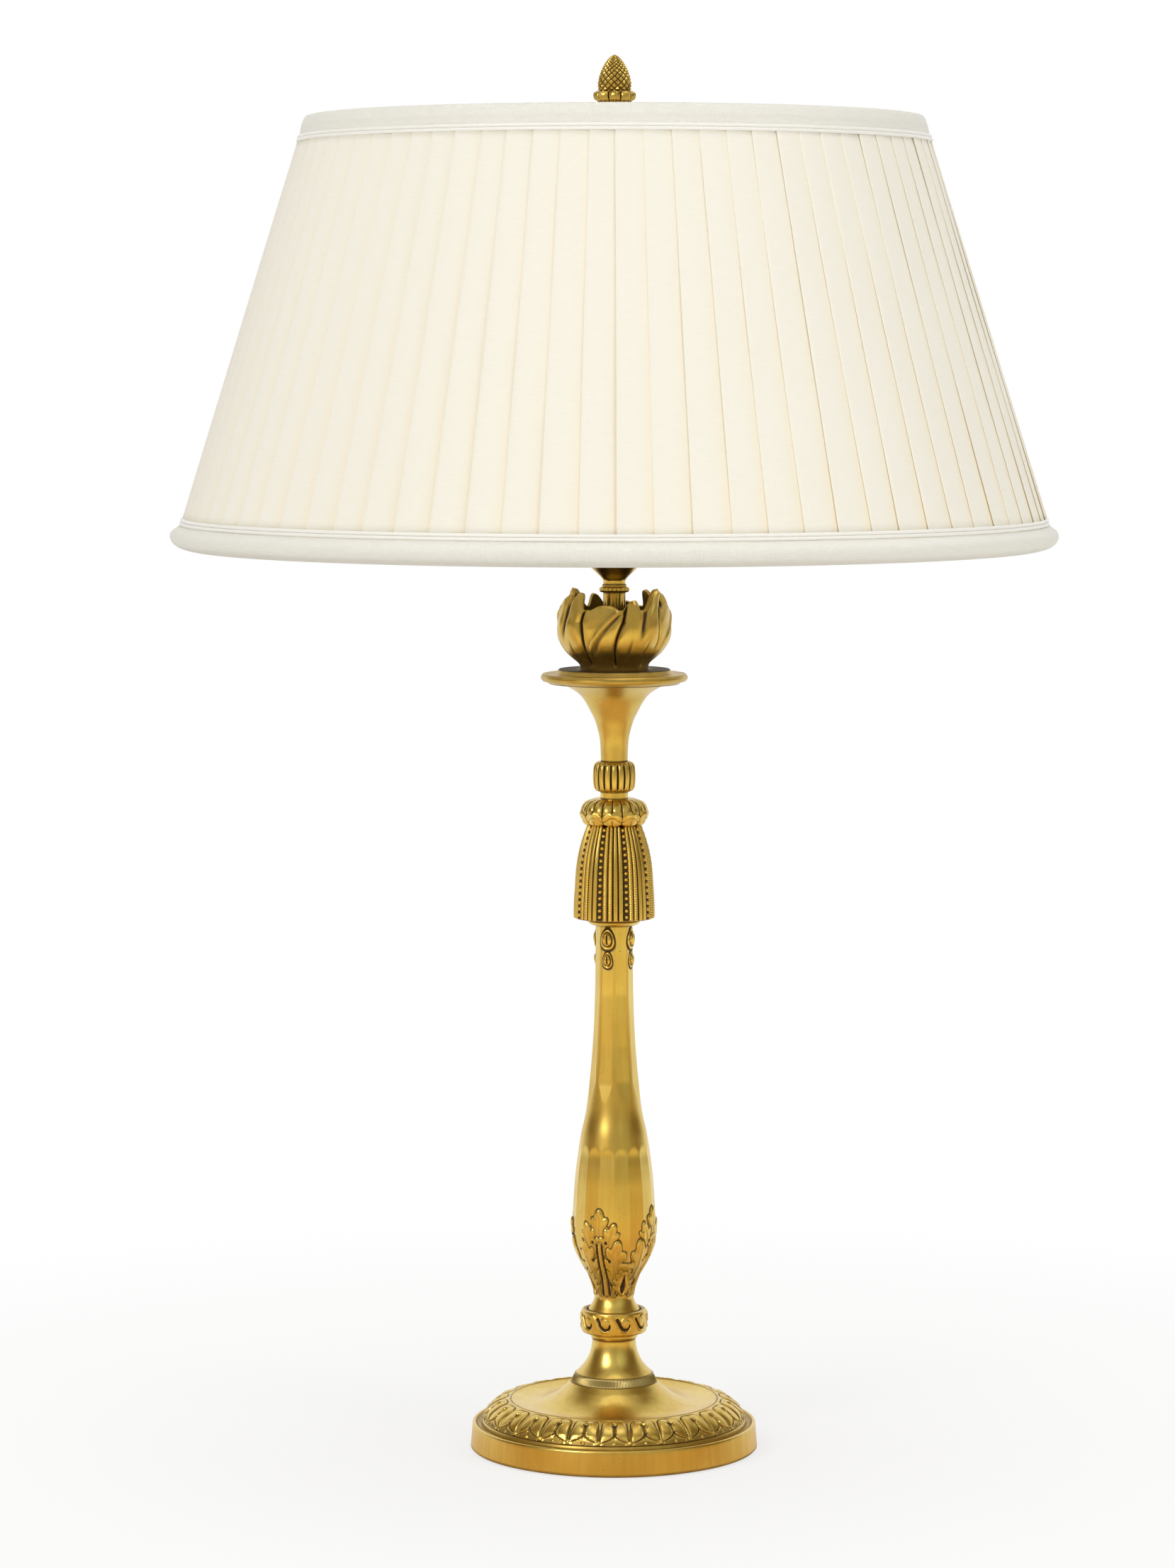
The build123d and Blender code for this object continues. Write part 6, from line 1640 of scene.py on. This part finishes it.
@dataclass
class Studio:
    """The camera, a pale floor and soft lamps."""

    focal_pixels: float = 6875.0
    long_side: float = 2212.0
    sensor: float = 36.0
    eye: tuple = (-0.0146, -2.650, 0.611)
    pitch_down: float = 5.25
    floor_size: float = 30.0
    middle: tuple = (0.0, 0.0, 0.4)

    def place_camera(self) -> None:
        """Puts the camera where the photograph was taken from."""
        data = bpy.data.cameras.new("camera")
        data.sensor_width = self.sensor
        data.lens = self.focal_pixels * self.sensor / self.long_side
        data.clip_start, data.clip_end = 0.05, 60.0
        camera = bpy.data.objects.new("camera", data)
        camera.location = self.eye
        camera.rotation_euler = (math.radians(90.0 - self.pitch_down), 0.0, 0.0)
        bpy.context.scene.collection.objects.link(camera)
        bpy.context.scene.camera = camera

    def place_floor(self) -> None:
        """Lays a pale floor, part lit, so that it keeps the shadow, and white far off.

        In front of the lamp it is a painted reflection: an emission that only glossy rays see, in amber, pale
        gold and olive, so the brass shows a darker, warmer table there; behind the lamp the brass sees it
        white.
        """
        half = self.floor_size / 2
        mesh = bpy.data.meshes.new("floor")
        corners = [(x * half, y * half, 0) for x, y in ((-1, -1), (1, -1), (1, 1), (-1, 1))]
        mesh.from_pydata(corners, [], [(0, 1, 2, 3)])
        floor = bpy.data.objects.new("floor", mesh)
        bpy.context.scene.collection.objects.link(floor)
        material, graph, shader = new_material("pale floor")
        shader.inputs["Roughness"].default_value = 0.9
        shader.inputs["Base Color"].default_value = written(240, 239, 236)
        where = graph.place("TexCoord").outputs["Object"]
        away = graph.place("VectorMath", {0: where}, operation="LENGTH").outputs["Value"]
        paths = graph.place("LightPath").outputs
        seen = graph.maths("MAXIMUM", paths["Is Camera Ray"], paths["Is Glossy Ray"])
        seen = graph.maths("MAXIMUM", seen, paths["Is Transmission Ray"])
        share = graph.maths("MULTIPLY", seen, graph.span(away, 0.10, 0.7, 0.72, 1.0))
        across, depth = graph.place("SeparateXYZ", {0: where}).outputs[:2]
        # Painted reflection: glossy rays see the floor in front as an amber, pale gold and olive emission.
        before = graph.maths("MULTIPLY", paths["Is Glossy Ray"], graph.span(depth, 0.10, -0.10))
        far = graph.blend(graph.span(across, -0.2, 0.7), (0.56, 0.32, 0.04, 1.0), (0.36, 0.33, 0.05, 1.0))
        near = graph.blend(graph.span(depth, -0.10, -0.90), (0.74, 0.42, 0.13, 1.0), (1.25, 1.10, 0.68, 1.0))
        painted_reflection_tone = graph.blend(graph.span(depth, -2.0, -3.9), near, far)
        painted_reflection_tone = graph.blend(before, WHITE, painted_reflection_tone)
        share = graph.maths("MAXIMUM", share, graph.maths("MULTIPLY", before, 0.92))
        white = graph.place("Emission", {"Color": painted_reflection_tone, "Strength": 1.0})
        mixed = graph.place("MixShader", {0: share, 1: shader.outputs[0], 2: white.outputs[0]})
        output = graph.tree.nodes["Material Output"]
        graph.feed(output.inputs["Surface"], mixed.outputs[0])
        floor.data.materials.append(material)

    def light_world(self) -> None:
        """Lights everything by a plain grey world, which the camera sees as white.

        The brass shows a dark warm room in it, with a pale wall behind the lamp and, in front of it, two
        soft panels at the sides that darken downwards.
        """
        world = bpy.data.worlds.new("studio")
        bpy.context.scene.world = world
        world.use_nodes = True
        graph = Graph(world.node_tree)
        background = world.node_tree.nodes["Background"]
        paths = graph.place("LightPath").outputs
        direction = graph.place("SeparateXYZ", {0: graph.place("TexCoord").outputs["Generated"]}).outputs
        behind = graph.span(direction[1], 0.30, 0.72)
        ahead = graph.span(direction[1], -0.25, -0.72)
        beside = graph.span(graph.maths("ABSOLUTE", direction[0]), 0.05, 0.34, 0.62, 1.0)
        leftward = graph.span(direction[0], -0.5, 0.5, 0.95, 0.80)
        upward = graph.span(direction[2], 0.05, 0.65, 0.32, 1.0)
        panels = ahead
        for share in (upward, graph.maths("MULTIPLY", beside, leftward)):
            panels = graph.maths("MULTIPLY", panels, share)
        wall = graph.maths("MAXIMUM", behind, panels)
        sideways = graph.span(direction[0], -0.45, 0.45)
        tint = graph.blend(sideways, (1.0, 0.96, 0.88, 1.0), (0.93, 1.0, 0.84, 1.0))
        shown = graph.blend(wall, (0.20, 0.14, 0.06, 1.0), graph.blend(behind, tint, WHITE))
        seen = graph.maths("MAXIMUM", paths["Is Camera Ray"], paths["Is Transmission Ray"])
        lit = graph.blend(paths["Is Glossy Ray"], (0.50, 0.50, 0.50, 1.0), shown)
        graph.feed(background.inputs["Color"], graph.blend(seen, lit, WHITE))
        background.inputs["Strength"].default_value = 1.0

    def place_lamp(self, name: str, place: tuple, size: tuple, watts: float, tint: tuple,
                   shines: bool = True) -> None:
        """Hangs one soft lamp that faces the middle of the object.

        Args:
            name: its name.
            place: its middle, in metres.
            size: its width and height.
            watts: its power.
            tint: its colour.
            shines: whether it shows in the brass.
        """
        data = bpy.data.lights.new(name, "AREA")
        data.shape = "RECTANGLE"
        data.size, data.size_y = size
        data.energy = watts
        data.color = tint
        lamp = bpy.data.objects.new(name, data)
        lamp.location = place
        lamp.rotation_euler = (Vector(self.middle) - Vector(place)).to_track_quat("-Z", "Y").to_euler()
        lamp.visible_glossy = shines
        bpy.context.scene.collection.objects.link(lamp)

    def build(self) -> None:
        """Sets everything up."""
        bpy.context.scene.view_settings.view_transform = "Standard"
        self.place_camera()
        self.place_floor()
        self.light_world()
        self.place_lamp("key", (-1.3, -1.6, 1.5), (0.9, 1.3), 18.5, WARM_WHITE)
        self.place_lamp("fill", (1.7, -1.3, 0.9), (0.8, 1.4), 12.5, WARM_WHITE, shines=False)
        self.place_lamp("top", (0.2, 0.2, 2.3), (1.4, 1.4), 11.0, WHITE[:3])


def turnings() -> list:
    """The plain turned rings of the stem, from the foot up."""
    return [
        Turning("foot_neck", bow((21.4, 41.6), (12.0, 60.9), -2.6, 40)),
        Turning("neck_ring", bow((12.1, 60.9), (12.1, 64.6), 0.93, 16)),
        Turning("tassel_ring", bow((12.55, 290.5), (12.55, 294.0), 1.75, 18)),
        Turning("stem_spacer", line((7.6, 359.6), (7.6, 363.5), 6)),
        # The trumpet, the drip plate and the riser tube get an even darkening: painted shade, for the
        # lampshade's shadow above them.
        Turning("trumpet_stem", through([(7.3, 380.0), (7.8, 391.1), (9.3, 398.3), (11.8, 405.1),
                                         (18.5, 416.2), (28.3, 422.6)], 60), patina_and_painted_light=0.16),
        Turning("drip_plate", drawn((35.5, 422.6), ((37.5, 424.0), 3), ((38.9, 424.0),),
                                    ((38.9, 428.0), 12, 1.2), ((31.9, 428.1),), ((30.7, 429.9), 4),
                                    ((30.1, 430.5),)),
                columns=256, patina_and_painted_light=0.24),
        Turning("riser_tube", line((6.1, 433.0), (6.1, 472.3), 20), patina_and_painted_light=0.3, slot=Slot.POLISHED),
        Turning("thin_ring", bow((6.3, 475.2), (6.3, 476.6), 0.4, 8)),
        Turning("holder_cup", joined(
            through([(6.0, 476.6), (6.5, 479.5), (10.4, 483.5), (14.2, 487.0)], 30),
            bow((14.2, 487.0), (14.6, 489.9), 0.5, 8))),
    ]


def main() -> None:
    """Builds the lamp in its studio, from the foot up."""
    logging.basicConfig(level=logging.INFO, format="%(name)s: %(message)s")
    workshop = Workshop()
    Studio().build()
    stack = [Foot(), KnurledRing(), WaveCollar(), Baluster(), Tassel(), TasselCap(), ReededCollar(),
             FlameCup(), BeadedRing(), Finial(), Shade(), *turnings()]
    for part in stack:
        log.info("building %s", type(part).__name__)
        part.build(workshop)
    workshop.dress_nodes()


if __name__ == "__main__":
    main()
